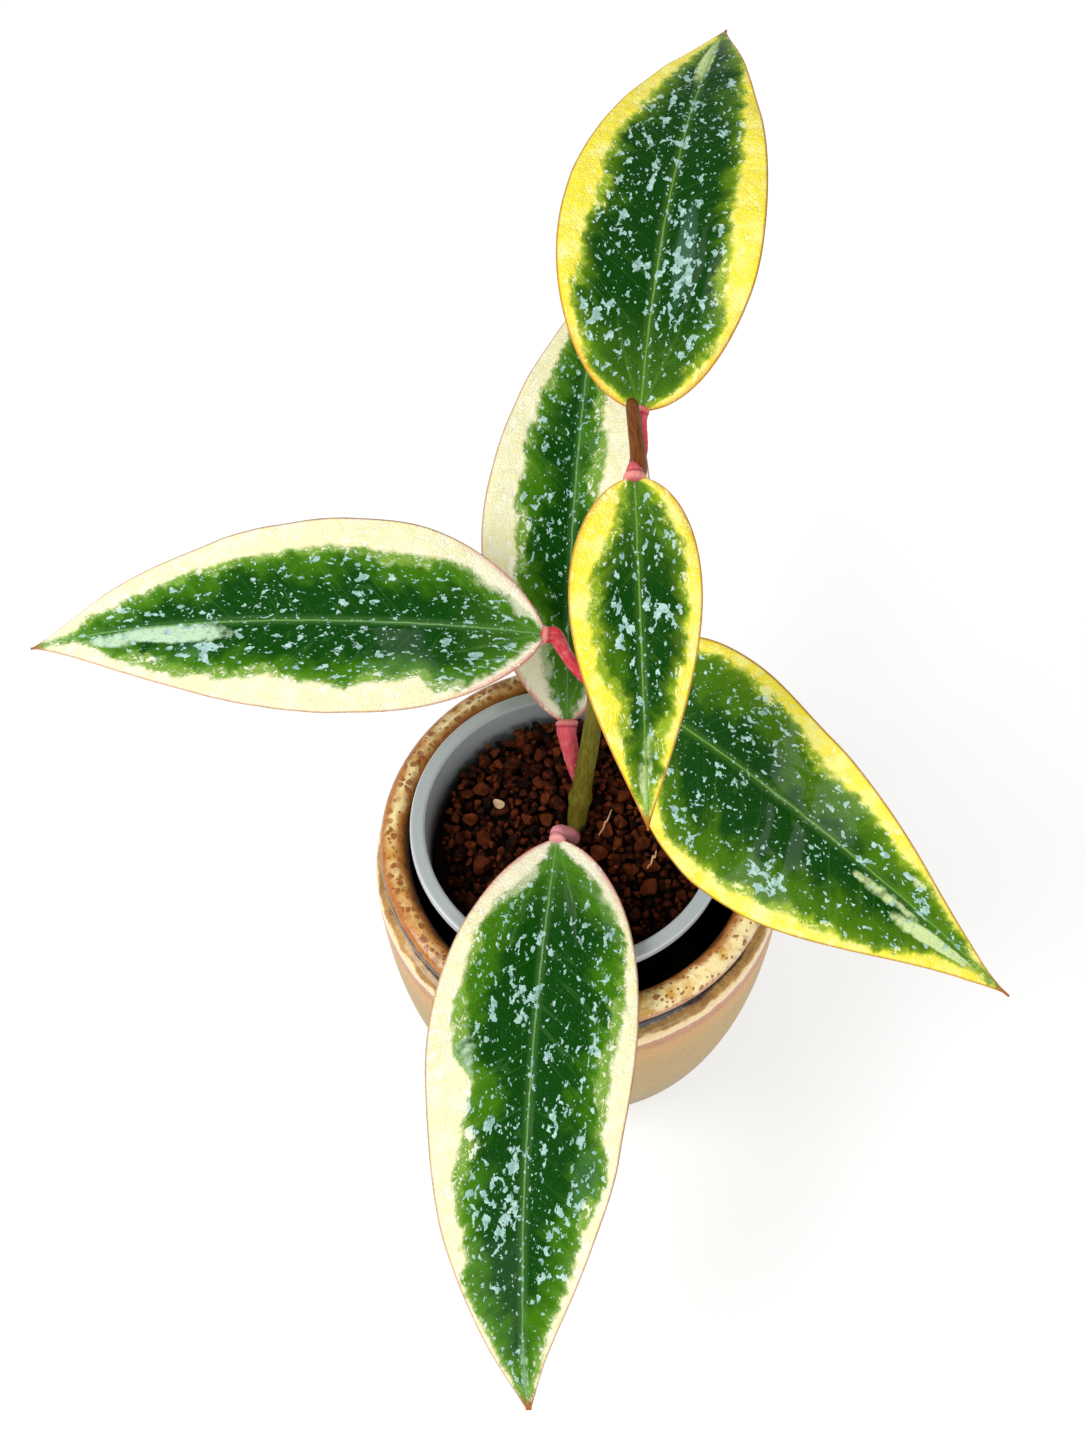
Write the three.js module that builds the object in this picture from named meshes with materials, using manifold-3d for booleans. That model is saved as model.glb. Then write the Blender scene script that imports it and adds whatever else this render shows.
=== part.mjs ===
// A young variegated hoya growing in a clear nursery pot, which stands in a glazed cover pot.
// Millimetres, +Z up. The origin is the middle of the cover pot's flat base, and -Y is the front.

import * as THREE from "three";
import { mergeVertices } from "three/addons/utils/BufferGeometryUtils.js";
import Module from "manifold-3d";

const wasm = await Module();
wasm.setup();

// Gap left between pieces that touch on the real plant
const SEAT = 0.3;

// Cover pot
const FLOOR_Z = 10;
const POT_SEGMENTS = 48;
const COVER_OUTSIDE = [
  [0, 0], [36, 0], [40.5, 1.2], [44.8, 4.6], [50.3, 16.5], [54.1, 33], [56.2, 48], [57.5, 63],
  [58.3, 78], [58.4, 88], [57.6, 91.2], [55.4, 92.6], [54.2, 93.8], [54, 95.6], [54.6, 97.2],
];
const COVER_LIP = [
  [56, 98.2], [56.4, 100.4], [56, 102.6], [54.6, 103.9], [52.2, 104.4], [50, 103.4], [48.6, 101.6],
  [47.9, 99],
];
const COVER_INSIDE = [
  [48, 95], [49.8, 88], [51.2, 77], [50.6, 60], [49, 42], [46.2, 26], [42.8, 16], [38.5, FLOOR_Z + 1],
  [34, FLOOR_Z], [0, FLOOR_Z],
];

// Nursery pot, 90 mm across its rim, leaning a little to the back and right
const NURSERY_HEIGHT = 95.5;
const NURSERY_RIM_R = 45;
const NURSERY_RIM_DEPTH = 3.2;
const NURSERY_MOUTH_R = 40.8;
const NURSERY_BASE_R = 31;
const NURSERY_WALL = 1;
const NURSERY_LEAN = [-0.045, 0.03];
const NURSERY_RIM_CENTRE = [-3.5, 2.4];
const DRAIN_HOLES = 6;
const DRAIN_HOLE_R = 3.5;
const DRAIN_CIRCLE_R = 21;

// Clay growing medium
const BED_TOP = 79.5;
const GRANULE_SPOTS = 24;
const GRANULE_PITCH = 6.5;
const GRANULE_R = 2.5;
const GRANULE_FIELD_R = 34;

// Leaves
const LEAF_STATIONS = 22;
const LEAF_ACROSS = 6;
const LEAF_THICKNESS = 1.4;
const LEAF_END_HALF_WIDTH = 1.3;

const COLOURS = {
  glaze: [0xb58b5e, 0.35],
  plastic: [0xaab2b6, 0.4],
  clay: [0x4a2015, 0.9],
  granule: [0x6d3422, 0.9],
  stem: [0x6b6a26, 0.5],
  petiole: [0xb53a50, 0.45],
  leafCream: [0x3c7031, 0.3],
  leafYellow: [0x4f8130, 0.3],
  husk: [0xd9cfae, 0.7],
  root: [0xb48a5c, 0.8],
};

const rad = THREE.MathUtils.degToRad;
const lerp = THREE.MathUtils.lerp;
const vec = (point) => new THREE.Vector3(...point);

const plant = new THREE.Group();
const nursery = new THREE.Group();
plant.add(nursery);

function add(parent, name, geometry, [colour, roughness]) {
  const material = new THREE.MeshStandardMaterial({ color: colour, roughness, metalness: 0 });
  const mesh = new THREE.Mesh(geometry, material);
  mesh.name = name;
  parent.add(mesh);
  return mesh;
}

// Joins and cuts on closed solids

function solid(geometry) {
  const shape = geometry.clone();
  shape.deleteAttribute("normal");
  shape.deleteAttribute("uv");
  const merged = mergeVertices(shape, 1e-4);
  const vertProperties = new Float32Array(merged.attributes.position.array);
  const triVerts = new Uint32Array(merged.index.array);
  return new wasm.Manifold(new wasm.Mesh({ numProp: 3, vertProperties, triVerts }));
}

function geometryOf(manifold) {
  const mesh = manifold.getMesh();
  const geometry = new THREE.BufferGeometry();
  geometry.setAttribute("position", new THREE.BufferAttribute(mesh.vertProperties, 3));
  geometry.setIndex(new THREE.BufferAttribute(mesh.triVerts, 1));
  geometry.computeVertexNormals();
  return geometry;
}

function cut(geometry, ...cutters) {
  let body = solid(geometry);
  for (const cutter of cutters) {
    body = body.subtract(solid(cutter));
  }
  return geometryOf(body);
}

// A closed skin over a row of rings with the same number of points, with a fan at each end

function loft(rings) {
  const around = rings[0].length;
  const points = rings.flat();
  const first = points.length;
  points.push(middle(rings[0]), middle(rings.at(-1)));
  const index = [];
  for (let row = 0; row < rings.length - 1; row += 1) {
    for (let i = 0; i < around; i += 1) {
      const a = row * around + i;
      const b = row * around + ((i + 1) % around);
      index.push(a, b, b + around, a, b + around, a + around);
    }
  }
  const last = (rings.length - 1) * around;
  for (let i = 0; i < around; i += 1) {
    const next = (i + 1) % around;
    index.push(first, next, i, first + 1, last + i, last + next);
  }
  const geometry = new THREE.BufferGeometry().setFromPoints(points);
  geometry.setIndex(index);
  geometry.computeVertexNormals();
  return geometry;
}

function middle(ring) {
  const sum = new THREE.Vector3();
  ring.forEach((point) => sum.add(point));
  return sum.divideScalar(ring.length);
}

// A round stalk through the listed [x, y, z, radius] points, thickened by extra

function stalk(route, sides, steps, extra = 0) {
  const curve = new THREE.CatmullRomCurve3(route.map((stop) => vec(stop.slice(0, 3))));
  const frames = curve.computeFrenetFrames(steps, false);
  const rings = [];
  for (let step = 0; step <= steps; step += 1) {
    const t = step / steps;
    const centre = curve.getPoint(curve.getUtoTmapping(t));
    const place = curve.getUtoTmapping(t) * (route.length - 1);
    const before = Math.min(Math.floor(place), route.length - 2);
    const radius = lerp(route[before][3], route[before + 1][3], place - before) + extra;
    const ring = [];
    for (let side = 0; side < sides; side += 1) {
      const angle = (side / sides) * 2 * Math.PI;
      const point = centre.clone();
      point.addScaledVector(frames.normals[step], radius * Math.cos(angle));
      point.addScaledVector(frames.binormals[step], radius * Math.sin(angle));
      ring.push(point);
    }
    rings.push(ring);
  }
  return loft(rings);
}

// A turned shape from its [radius, height] profile

function turned(profile) {
  const points = profile.map(([r, z]) => new THREE.Vector2(r, z));
  return new THREE.LatheGeometry(points, POT_SEGMENTS).rotateX(Math.PI / 2);
}

// Cover pot: a turned bowl with a rounded lip, a groove under it and a raised shoulder

function coverPot() {
  return turned([...COVER_OUTSIDE, ...COVER_LIP, ...COVER_INSIDE]);
}

add(plant, "cover_pot", coverPot(), COLOURS.glaze);

// Nursery pot: thin tapered wall, a flange round the mouth and drain holes in the base

function nurseryInsideR(z) {
  return lerp(NURSERY_BASE_R - NURSERY_WALL, NURSERY_MOUTH_R, z / NURSERY_HEIGHT);
}

function drainHole(angle) {
  const hole = new THREE.CylinderGeometry(DRAIN_HOLE_R, DRAIN_HOLE_R, 8, 12).rotateX(Math.PI / 2);
  return hole.translate(DRAIN_CIRCLE_R * Math.cos(angle), DRAIN_CIRCLE_R * Math.sin(angle), 0);
}

function nurseryPot() {
  const top = NURSERY_HEIGHT;
  const wallTopR = NURSERY_MOUTH_R + NURSERY_WALL;
  const profile = [
    [0, 0], [NURSERY_BASE_R - 1, 0], [NURSERY_BASE_R, 1], [wallTopR, top - NURSERY_RIM_DEPTH],
    [NURSERY_RIM_R, top - NURSERY_RIM_DEPTH], [NURSERY_RIM_R, top - 0.6], [NURSERY_RIM_R - 0.8, top],
    [NURSERY_MOUTH_R + 0.6, top], [NURSERY_MOUTH_R, top - 0.8],
    [nurseryInsideR(2 * NURSERY_WALL), 2 * NURSERY_WALL], [NURSERY_BASE_R - 3, NURSERY_WALL],
    [0, NURSERY_WALL],
  ];
  const holes = [];
  for (let i = 0; i < DRAIN_HOLES; i += 1) {
    holes.push(drainHole((i / DRAIN_HOLES) * 2 * Math.PI));
  }
  return cut(turned(profile), ...holes);
}

// The nursery pot's low edge rests on the cover pot's floor
const lean = Math.hypot(...NURSERY_LEAN);
const nurseryBaseZ = FLOOR_Z + SEAT + NURSERY_BASE_R * Math.sin(lean);
nursery.rotation.set(NURSERY_LEAN[0], NURSERY_LEAN[1], 0);
nursery.position.set(
  NURSERY_RIM_CENTRE[0] - NURSERY_HEIGHT * NURSERY_LEAN[1],
  NURSERY_RIM_CENTRE[1] + NURSERY_HEIGHT * NURSERY_LEAN[0],
  nurseryBaseZ,
);
nursery.updateMatrixWorld(true);
const toNursery = nursery.matrixWorld.clone().invert();

add(nursery, "nursery_pot", nurseryPot(), COLOURS.plastic);

// Main stem: rooted in the bed, leaning back and right, browner towards its cut tip

const STEM = [
  [-2.2, 9.3, 76, 2.8],
  [-0.9, 12.2, 95.5, 2.8],
  [2.2, 17, 128, 2.6],
  [4.2, 20.2, 154, 2.6],
  [8.4, 25, 200, 2.2],
  [13.4, 30.5, 248.5, 2.1],
  [12.3, 34.5, 259, 1.7],
  [11.4, 37, 265.5, 1.6],
];
const STEM_SIDES = 10;
const STEM_STEPS = 26;

add(plant, "main_stem", stalk(STEM, STEM_SIDES, STEM_STEPS), COLOURS.stem);

// Leaves. From its base each midrib runs a length in a heading (degrees from +X towards +Y) and an
// elevation that both change evenly, while the blade rolls about it. The half widths are left and
// right of the midrib, seen from above the leaf, and peak sets how near the base the widest part is.

const LEAVES = {
  leaf_lower_front: {
    base: [-7, -3, 109], length: 163, heading: [-98, -91], elevation: [11, -47], roll: [3, -5],
    halfWidth: [28, 29], peak: [0.67, 0.77], taper: [0.85, 1], fold: 0.1, colour: COLOURS.leafCream,
  },
  leaf_lower_back: {
    base: [-4, 26, 124.5], length: 157, heading: [89, 81], elevation: [23, -20], roll: [-1, 0],
    halfWidth: [25.5, 25.5], peak: [0.71, 0.75], taper: [0.9, 1.1], fold: 0.12, colour: COLOURS.leafCream,
  },
  leaf_middle_left: {
    base: [-10, 30, 168], length: 148, heading: [177, 174], elevation: [10, -30], roll: [-1, -8],
    halfWidth: [28, 30], peak: [0.69, 0.71], taper: [0.9, 1.1], fold: 0.11, colour: COLOURS.leafCream,
  },
  leaf_middle_right: {
    base: [15.5, 14, 160.5], length: 134, heading: [-53, -36], elevation: [36, -31], roll: [42, 15],
    halfWidth: [24.5, 31], peak: [0.45, 0.72], taper: [0.7, 1.3], fold: 0.09, colour: COLOURS.leafYellow,
  },
  leaf_upper_front: {
    base: [12, 26.5, 251], length: 86, heading: [-89, -88], elevation: [-7, -37], roll: [2, 0],
    halfWidth: [15, 17], peak: [0.62, 0.68], taper: [0.8, 1.05], fold: 0.1, colour: COLOURS.leafYellow,
  },
  leaf_upper_back: {
    base: [13.5, 40, 259.5], length: 140, heading: [84, 73], elevation: [16, -30], roll: [0, -11],
    halfWidth: [25.5, 25], peak: [0.72, 0.69], taper: [0.7, 1.2], fold: 0.12, colour: COLOURS.leafYellow,
  },
};
const EDGE_CURL = 0.05;

function leafDirection(leaf, t) {
  const heading = rad(lerp(...leaf.heading, t));
  const elevation = rad(lerp(...leaf.elevation, t));
  return vec([
    Math.cos(elevation) * Math.cos(heading),
    Math.cos(elevation) * Math.sin(heading),
    Math.sin(elevation),
  ]);
}

function leafFrame(leaf, t) {
  const along = leafDirection(leaf, t);
  const heading = rad(lerp(...leaf.heading, t));
  const level = vec([-Math.sin(heading), Math.cos(heading), 0]);
  const roll = rad(lerp(...leaf.roll, t));
  const left = level.clone().applyAxisAngle(along, roll);
  return { along, left, up: along.clone().cross(left) };
}

function leafHalfWidth(leaf, side, t) {
  const bulge = Math.sin(Math.PI * t ** leaf.peak[side]);
  const width = leaf.halfWidth[side] * Math.max(bulge, 0) ** lerp(...leaf.taper, t);
  return Math.max(width, lerp(LEAF_END_HALF_WIDTH, 0.3, t));
}

function leafBlade(leaf) {
  const centre = vec(leaf.base);
  const rings = [];
  for (let row = 0; row <= LEAF_STATIONS; row += 1) {
    const t = (1 - Math.cos((row / LEAF_STATIONS) * Math.PI)) / 2;
    if (row > 0) {
      const before = (1 - Math.cos(((row - 1) / LEAF_STATIONS) * Math.PI)) / 2;
      centre.addScaledVector(leafDirection(leaf, (t + before) / 2), leaf.length * (t - before));
    }
    rings.push(leafRing(leaf, centre, t));
  }
  return loft(rings);
}

function leafRing(leaf, centre, t) {
  const { left, up } = leafFrame(leaf, t);
  const ring = [];
  const place = (across, over) => {
    const width = leafHalfWidth(leaf, across > 0 ? 0 : 1, t);
    const rise = width * (leaf.fold * Math.abs(across) - (EDGE_CURL / 2) * across ** 2);
    const thick = LEAF_THICKNESS * Math.sqrt(1 - 0.7 * across ** 2) * lerp(1, 0.6, t);
    const point = centre.clone().addScaledVector(left, across * width);
    ring.push(point.addScaledVector(up, rise + (over * thick) / 2));
  };
  for (let i = 0; i <= LEAF_ACROSS; i += 1) {
    place(1 - (2 * i) / LEAF_ACROSS, 1);
  }
  for (let i = 0; i <= LEAF_ACROSS; i += 1) {
    place((2 * i) / LEAF_ACROSS - 1, -1);
  }
  return ring;
}

for (const [name, leaf] of Object.entries(LEAVES)) {
  add(plant, name, leafBlade(leaf), leaf.colour);
}

// Petioles: each leaves the stem at a node and ends just short of its leaf's base

const PETIOLE_SIDES = 10;
const PETIOLE_STEPS = 8;
const LEAF_JOINT = 0.5;
const PETIOLE_END = 2.5;
const PETIOLES = {
  petiole_lower_front: {
    leaf: "leaf_lower_front", endRadius: 2,
    route: [[-1.5, 10.7, 86, 1.6], [-2.2, 5.6, 92, 1.8], [-4, 1.4, 103, 1.8]],
  },
  petiole_lower_back: {
    leaf: "leaf_lower_back", endRadius: 2.8,
    route: [[0, 13.6, 103, 1.5], [-2, 18.4, 111, 2]],
  },
  petiole_middle_left: {
    leaf: "leaf_middle_left", endRadius: 2.2,
    route: [[4.2, 20.3, 155, 1.7], [-2.6, 25, 161, 1.6]],
  },
  petiole_middle_right: {
    leaf: "leaf_middle_right", endRadius: 2,
    route: [[4.2, 20.3, 155, 1.7], [9.5, 18.6, 156, 1.7]],
  },
  petiole_upper_front: {
    leaf: "leaf_upper_front", endRadius: 1.9,
    route: [[13.4, 30.6, 248.8, 1.4]],
  },
  petiole_upper_back: {
    leaf: "leaf_upper_back", endRadius: 1.7,
    route: [[13.5, 30.6, 248.8, 1.2], [14.8, 33.4, 252.8, 1.4]],
  },
};

function petioleRoute(petiole) {
  const leaf = LEAVES[petiole.leaf];
  const short = (gap) => vec(leaf.base).addScaledVector(leafDirection(leaf, 0), -gap).toArray();
  const turn = [...short(PETIOLE_END), petiole.endRadius];
  return [...petiole.route, turn, [...short(LEAF_JOINT), petiole.endRadius]];
}

const stemRoom = stalk(STEM, STEM_SIDES, STEM_STEPS, SEAT);
for (const [name, petiole] of Object.entries(PETIOLES)) {
  const stick = stalk(petioleRoute(petiole), PETIOLE_SIDES, PETIOLE_STEPS);
  add(plant, name, cut(stick, stemRoom), COLOURS.petiole);
}

// Growing medium: the packed bed fills the nursery pot, and the stem and first petiole grow from it

function substrateBed() {
  const low = NURSERY_WALL + SEAT;
  const bed = turned([
    [0, low],
    [NURSERY_BASE_R - 4, low],
    [nurseryInsideR(low + 2) - SEAT, low + 2],
    [nurseryInsideR(BED_TOP) - SEAT, BED_TOP],
    [0, BED_TOP],
  ]);
  const firstPetiole = petioleRoute(PETIOLES.petiole_lower_front);
  const petioleRoom = stalk(firstPetiole, PETIOLE_SIDES, PETIOLE_STEPS, SEAT);
  const [rootX, rootY, rootZ, rootR] = STEM[0];
  const rootRoom = new THREE.SphereGeometry(rootR + 2 * SEAT, 12, 8).translate(rootX, rootY, rootZ);
  const rooms = [stemRoom, petioleRoom, rootRoom];
  return cut(bed, ...rooms.map((room) => room.clone().applyMatrix4(toNursery)));
}

add(nursery, "substrate_bed", substrateBed(), COLOURS.clay);

// Seed husk and two dry root strands, each lying on a granule of its own

const HUSK = { at: [-19.8, 12.2], size: [2, 1.3, 0.8], turn: -35 };
const ROOTS = [
  { name: "root_strand_1", at: [10.9, 6.6], turn: 55, reach: 4.5 },
  { name: "root_strand_2", at: [23.8, -6], turn: 50, reach: 2.8 },
];
const ROOT_R = 0.5;

// Loose clay granules on the bed, laid out in a spiral that leaves room for what grows there

const GROWING_AT = [[3.4, 10.6], [2.4, 4.4]];

function granulePlaces() {
  const places = [HUSK.at, ...ROOTS.map((root) => root.at)];
  for (let i = 0; i < GRANULE_SPOTS; i += 1) {
    const reach = GRANULE_FIELD_R * Math.sqrt((i + 0.6) / GRANULE_SPOTS);
    const angle = i * 2.4 + 3.6;
    const spot = [reach * Math.cos(angle), reach * Math.sin(angle)];
    const clear = ([x, y]) => Math.hypot(spot[0] - x, spot[1] - y) > GRANULE_PITCH;
    if ([...places, ...GROWING_AT].every(clear)) {
      places.push(spot);
    }
  }
  return places;
}

function granuleSize(i) {
  return [
    GRANULE_R * (1 + 0.15 * Math.sin(i * 2.3)),
    GRANULE_R * (1 + 0.15 * Math.sin(i * 1.7 + 1)),
    GRANULE_R * (0.85 + 0.1 * Math.sin(i * 3.1 + 2)),
  ];
}

granulePlaces().forEach(([x, y], i) => {
  const size = granuleSize(i);
  const lump = new THREE.IcosahedronGeometry(1, 1).scale(...size);
  const name = `granule_${String(i + 1).padStart(2, "0")}`;
  add(nursery, name, lump, COLOURS.granule).position.set(x, y, BED_TOP + SEAT + size[2]);
});

function layOnGranule(piece, i, at, halfHeight, turn) {
  const top = BED_TOP + SEAT + 2 * granuleSize(i)[2];
  piece.position.set(...at, top + SEAT + halfHeight);
  piece.rotation.z = rad(turn);
}

const huskShape = new THREE.SphereGeometry(1, 12, 8).scale(...HUSK.size);
const husk = add(nursery, "seed_husk", huskShape, COLOURS.husk);
layOnGranule(husk, 0, HUSK.at, HUSK.size[2], HUSK.turn);

ROOTS.forEach(({ name, at, turn, reach }, i) => {
  const route = [
    [-reach, -0.8, 0, ROOT_R * 0.7],
    [-reach / 3, 0.5, 0, ROOT_R],
    [reach / 3, -0.2, 0, ROOT_R],
    [reach, 1.2, 0, ROOT_R * 0.6],
  ];
  const strand = add(nursery, name, stalk(route, 8, 10), COLOURS.root);
  layOnGranule(strand, i + 1, at, ROOT_R, turn);
});

export default plant;
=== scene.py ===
# %% [markdown]
# # A splash-leaved hoya in its two pots
# The plant is a young vine: one brown stem, six glossy leaves with pale margins and silver splashes,
# a clear grey nursery pot filled with burnt clay granules, and a glazed stoneware cover pot around it.
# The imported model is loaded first. It is the fixed frame that says where everything sits, and each
# detailed piece below takes the place of one of its parts. All sizes are worked out in millimetres,
# because a grower would measure a leaf that way, and turned into metres when a mesh is made.

# %% Load the frame
import math

import bmesh
import bpy
import numpy as np
from mathutils import Matrix, Vector, noise


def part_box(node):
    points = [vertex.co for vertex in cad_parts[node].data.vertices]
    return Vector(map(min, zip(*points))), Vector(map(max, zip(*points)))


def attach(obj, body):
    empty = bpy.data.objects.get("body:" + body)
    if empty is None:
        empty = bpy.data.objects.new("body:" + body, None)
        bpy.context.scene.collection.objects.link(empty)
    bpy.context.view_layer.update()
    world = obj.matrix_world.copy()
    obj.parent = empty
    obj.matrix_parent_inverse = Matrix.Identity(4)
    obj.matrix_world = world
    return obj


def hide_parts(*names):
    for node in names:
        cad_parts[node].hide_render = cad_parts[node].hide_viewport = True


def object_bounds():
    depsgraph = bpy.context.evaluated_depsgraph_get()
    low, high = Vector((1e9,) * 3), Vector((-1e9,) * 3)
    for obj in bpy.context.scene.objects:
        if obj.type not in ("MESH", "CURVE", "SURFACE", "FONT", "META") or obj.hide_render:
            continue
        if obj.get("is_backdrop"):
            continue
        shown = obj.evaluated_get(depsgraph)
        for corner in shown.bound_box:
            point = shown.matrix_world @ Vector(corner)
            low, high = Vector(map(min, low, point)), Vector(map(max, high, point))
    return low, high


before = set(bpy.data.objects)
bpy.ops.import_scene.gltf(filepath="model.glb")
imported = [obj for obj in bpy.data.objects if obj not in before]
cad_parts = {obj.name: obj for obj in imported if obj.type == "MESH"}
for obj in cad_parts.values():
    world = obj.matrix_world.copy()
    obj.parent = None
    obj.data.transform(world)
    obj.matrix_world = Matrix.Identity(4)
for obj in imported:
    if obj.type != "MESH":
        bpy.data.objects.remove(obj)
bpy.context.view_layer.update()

MM = 0.001

# %% [markdown]
# ## Camera
# The picture was taken from above, at 62.5 degrees, with a long lens and the camera turned by about
# half a degree. A camera could be aimed with a constraint, but three plain direction vectors are
# easier to check: where the camera looks, and what is right and up in the picture. The pixel at which
# the middle of the pot's mouth is seen then fixes where the camera stands.

# %% Camera
PICTURE = (1086, 1448)
FOCAL_PIXELS = 2800
SENSOR = 36
TILT = math.radians(62.5)
ROLL = math.radians(-0.6)
MOUTH_PIXEL = (582, 838)
MOUTH_CENTRE = Vector((0, 0, 104)) * MM
CAMERA_DISTANCE = 791.5 * MM


def place_camera():
    forward = Vector((0, math.cos(TILT), -math.sin(TILT)))
    flat_right = Vector((1, 0, 0))
    flat_up = Vector((0, math.sin(TILT), math.cos(TILT)))
    right = math.cos(ROLL) * flat_right + math.sin(ROLL) * flat_up
    up = -math.sin(ROLL) * flat_right + math.cos(ROLL) * flat_up
    aside = (MOUTH_PIXEL[0] - PICTURE[0] / 2) / FOCAL_PIXELS
    above = (PICTURE[1] / 2 - MOUTH_PIXEL[1]) / FOCAL_PIXELS
    sight = forward + aside * right + above * up
    lens = bpy.data.cameras.new("camera")
    lens.sensor_width = SENSOR
    lens.lens = FOCAL_PIXELS * SENSOR / PICTURE[1]
    camera = bpy.data.objects.new("camera", lens)
    turn = Matrix((right, up, -forward)).transposed().to_4x4()
    camera.matrix_world = Matrix.Translation(MOUTH_CENTRE - sight * CAMERA_DISTANCE) @ turn
    bpy.context.collection.objects.link(camera)
    bpy.context.scene.camera = camera
    return camera


camera = place_camera()
print("camera stands at", [round(v, 4) for v in camera.location], "lens", round(camera.data.lens, 2))

# %% [markdown]
# ## Light
# The plant was lit by broad soft light from the upper left, with bright surroundings, and almost no
# shadow but a faint one to the right of the pot. Large area lamps give that: the bigger the lamp, the
# softer its shadow and the longer its glint on a waxy leaf. The world adds an even base light.

# %% Lamps and world
def soft_box(name, spot, size, power, aim=(0, 0, 0.15), colour=(1, 1, 1)):
    lamp = bpy.data.lights.new(name, "AREA")
    lamp.shape = "RECTANGLE"
    lamp.size, lamp.size_y = size
    lamp.energy = power
    lamp.color = colour
    stand = bpy.data.objects.new(name, lamp)
    stand.location = spot
    aimed = Vector(aim) - Vector(spot)
    stand.rotation_euler = aimed.to_track_quat("-Z", "Y").to_euler()
    bpy.context.collection.objects.link(stand)
    return stand


soft_box("window_left", (-0.95, -0.35, 1.25), (0.8, 0.8), 18)
soft_box("front_fill", (0.6, -1.3, 0.95), (1.1, 0.8), 9)
soft_box("back_glint", (-0.12, 0.7, 1.35), (0.2, 0.5), 2.0)

world = bpy.data.worlds.new("surroundings")
world.use_nodes = True
sky = world.node_tree.nodes["Background"].inputs
sky["Color"].default_value = (1, 0.99, 0.97, 1)
sky["Strength"].default_value = 0.5
bpy.context.scene.world = world
bpy.context.scene.view_settings.view_transform = "Standard"

# %% [markdown]
# ## Building finishes
# Every surface here is a network of shader nodes: noise, distances and colours that are mixed. What
# one output of a node gives at each point of a surface is called a field below. Fields are added,
# subtracted and multiplied like numbers, and each such step puts in one node, so that a long recipe
# reads like arithmetic. A new node goes into the same network as the first field that feeds it.

# %% Fields
class Field:
    """What one output of a shader node gives at each point of a surface."""

    def __init__(self, socket):
        self.socket = socket

    def __add__(self, other):
        return maths("ADD", self, other)

    def __sub__(self, other):
        return maths("SUBTRACT", self, other)

    def __mul__(self, other):
        return maths("MULTIPLY", self, other)

    def __abs__(self):
        return maths("ABSOLUTE", self)


class Outputs:
    """The outputs of one node, as fields, looked up by name or number."""

    def __init__(self, node):
        self.node = node

    def __getitem__(self, label):
        return Field(self.node.outputs[label])


def wire(value, socket):
    """Wires a field into an input, or sets that input to a number or a colour."""
    if isinstance(value, Field):
        socket.id_data.links.new(value.socket, socket)
    else:
        socket.default_value = value


def put(kind, inputs, tree=None, **settings):
    """Adds a shader node. Its tree has to be named only where no input is a field."""
    if tree is None:
        tree = next(v.socket.id_data for v in inputs.values() if isinstance(v, Field))
    node = tree.nodes.new("ShaderNode" + kind)
    for setting, value in settings.items():
        setattr(node, setting, value)
    for key, value in inputs.items():
        wire(value, node.inputs[key])
    return Outputs(node)


def maths(operation, *values):
    return put("Math", dict(enumerate(values)), operation=operation)[0]


# %% [markdown]
# A few steps come again and again: a value turned into a soft-edged mask, a colour laid over others,
# soft noise, and places that are stretched or shaken before a pattern is drawn at them.

# %% Steps of a recipe
AS_VECTOR, AS_NUMBER = 1, 2


def colour(*parts):
    return (*parts, 1.0)


def mask(value, low, high, bottom=0.0, top=1.0):
    """From bottom, where the value is at low, to top at high, with an S-shaped slope between them."""
    inputs = {0: value, 1: low, 2: high, 3: bottom, 4: top}
    return put("MapRange", inputs, interpolation_type="SMOOTHSTEP")[0]


def mix(amount, under, over):
    return put("Mix", {0: amount, 6: under, 7: over}, data_type="RGBA")[2]


def layers(skin, *coats):
    """Lays coats over a colour, one after another. Each is (how much of it, its colour)."""
    for amount, coat in coats:
        skin = mix(amount, skin, coat)
    return skin


def cloud(place, scale, detail=3.0, roughness=0.55, distortion=0.0, output=0):
    """Soft noise around 0.5. Output 0 is a number, and 1 is three different ones."""
    inputs = {"Vector": place, "Scale": scale, "Detail": detail}
    inputs.update({"Roughness": roughness, "Distortion": distortion})
    return put("TexNoise", inputs)[output]


def swing(place, *recipe):
    """The same noise around zero, to push an outline both ways."""
    return cloud(place, *recipe) - 0.5


def on_vectors(operation, first, second):
    return put("VectorMath", {0: first, 1: second}, operation=operation)[0]


def stretch(place, factors):
    return on_vectors("MULTIPLY", place, factors)


def shake(place, scale, reach):
    """Moves each place a little at random, so that what is drawn there gets a ragged outline."""
    drift = on_vectors("SUBTRACT", cloud(place, scale, 2, output=1), (0.5, 0.5, 0.5))
    return on_vectors("ADD", stretch(drift, (reach, reach, reach)), place)


def split(place):
    parts = put("SeparateXYZ", {0: place})
    return parts[0], parts[1], parts[2]


def join(*parts):
    return put("CombineXYZ", dict(enumerate(parts)))[0]


def stored(tree, label, kind=AS_NUMBER):
    """A value that the mesh keeps at each point."""
    return put("Attribute", {}, tree, attribute_name=label)[kind]


def object_place(tree):
    return put("TexCoord", {}, tree)["Object"]


# %% [markdown]
# An effect that several finishes share is built once, as a node group with named inputs and outputs,
# and then put into each material. A finish starts with the shader's values that are the same all
# over, and ends by dressing the shader in its colour, its roughness and its relief.

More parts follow.
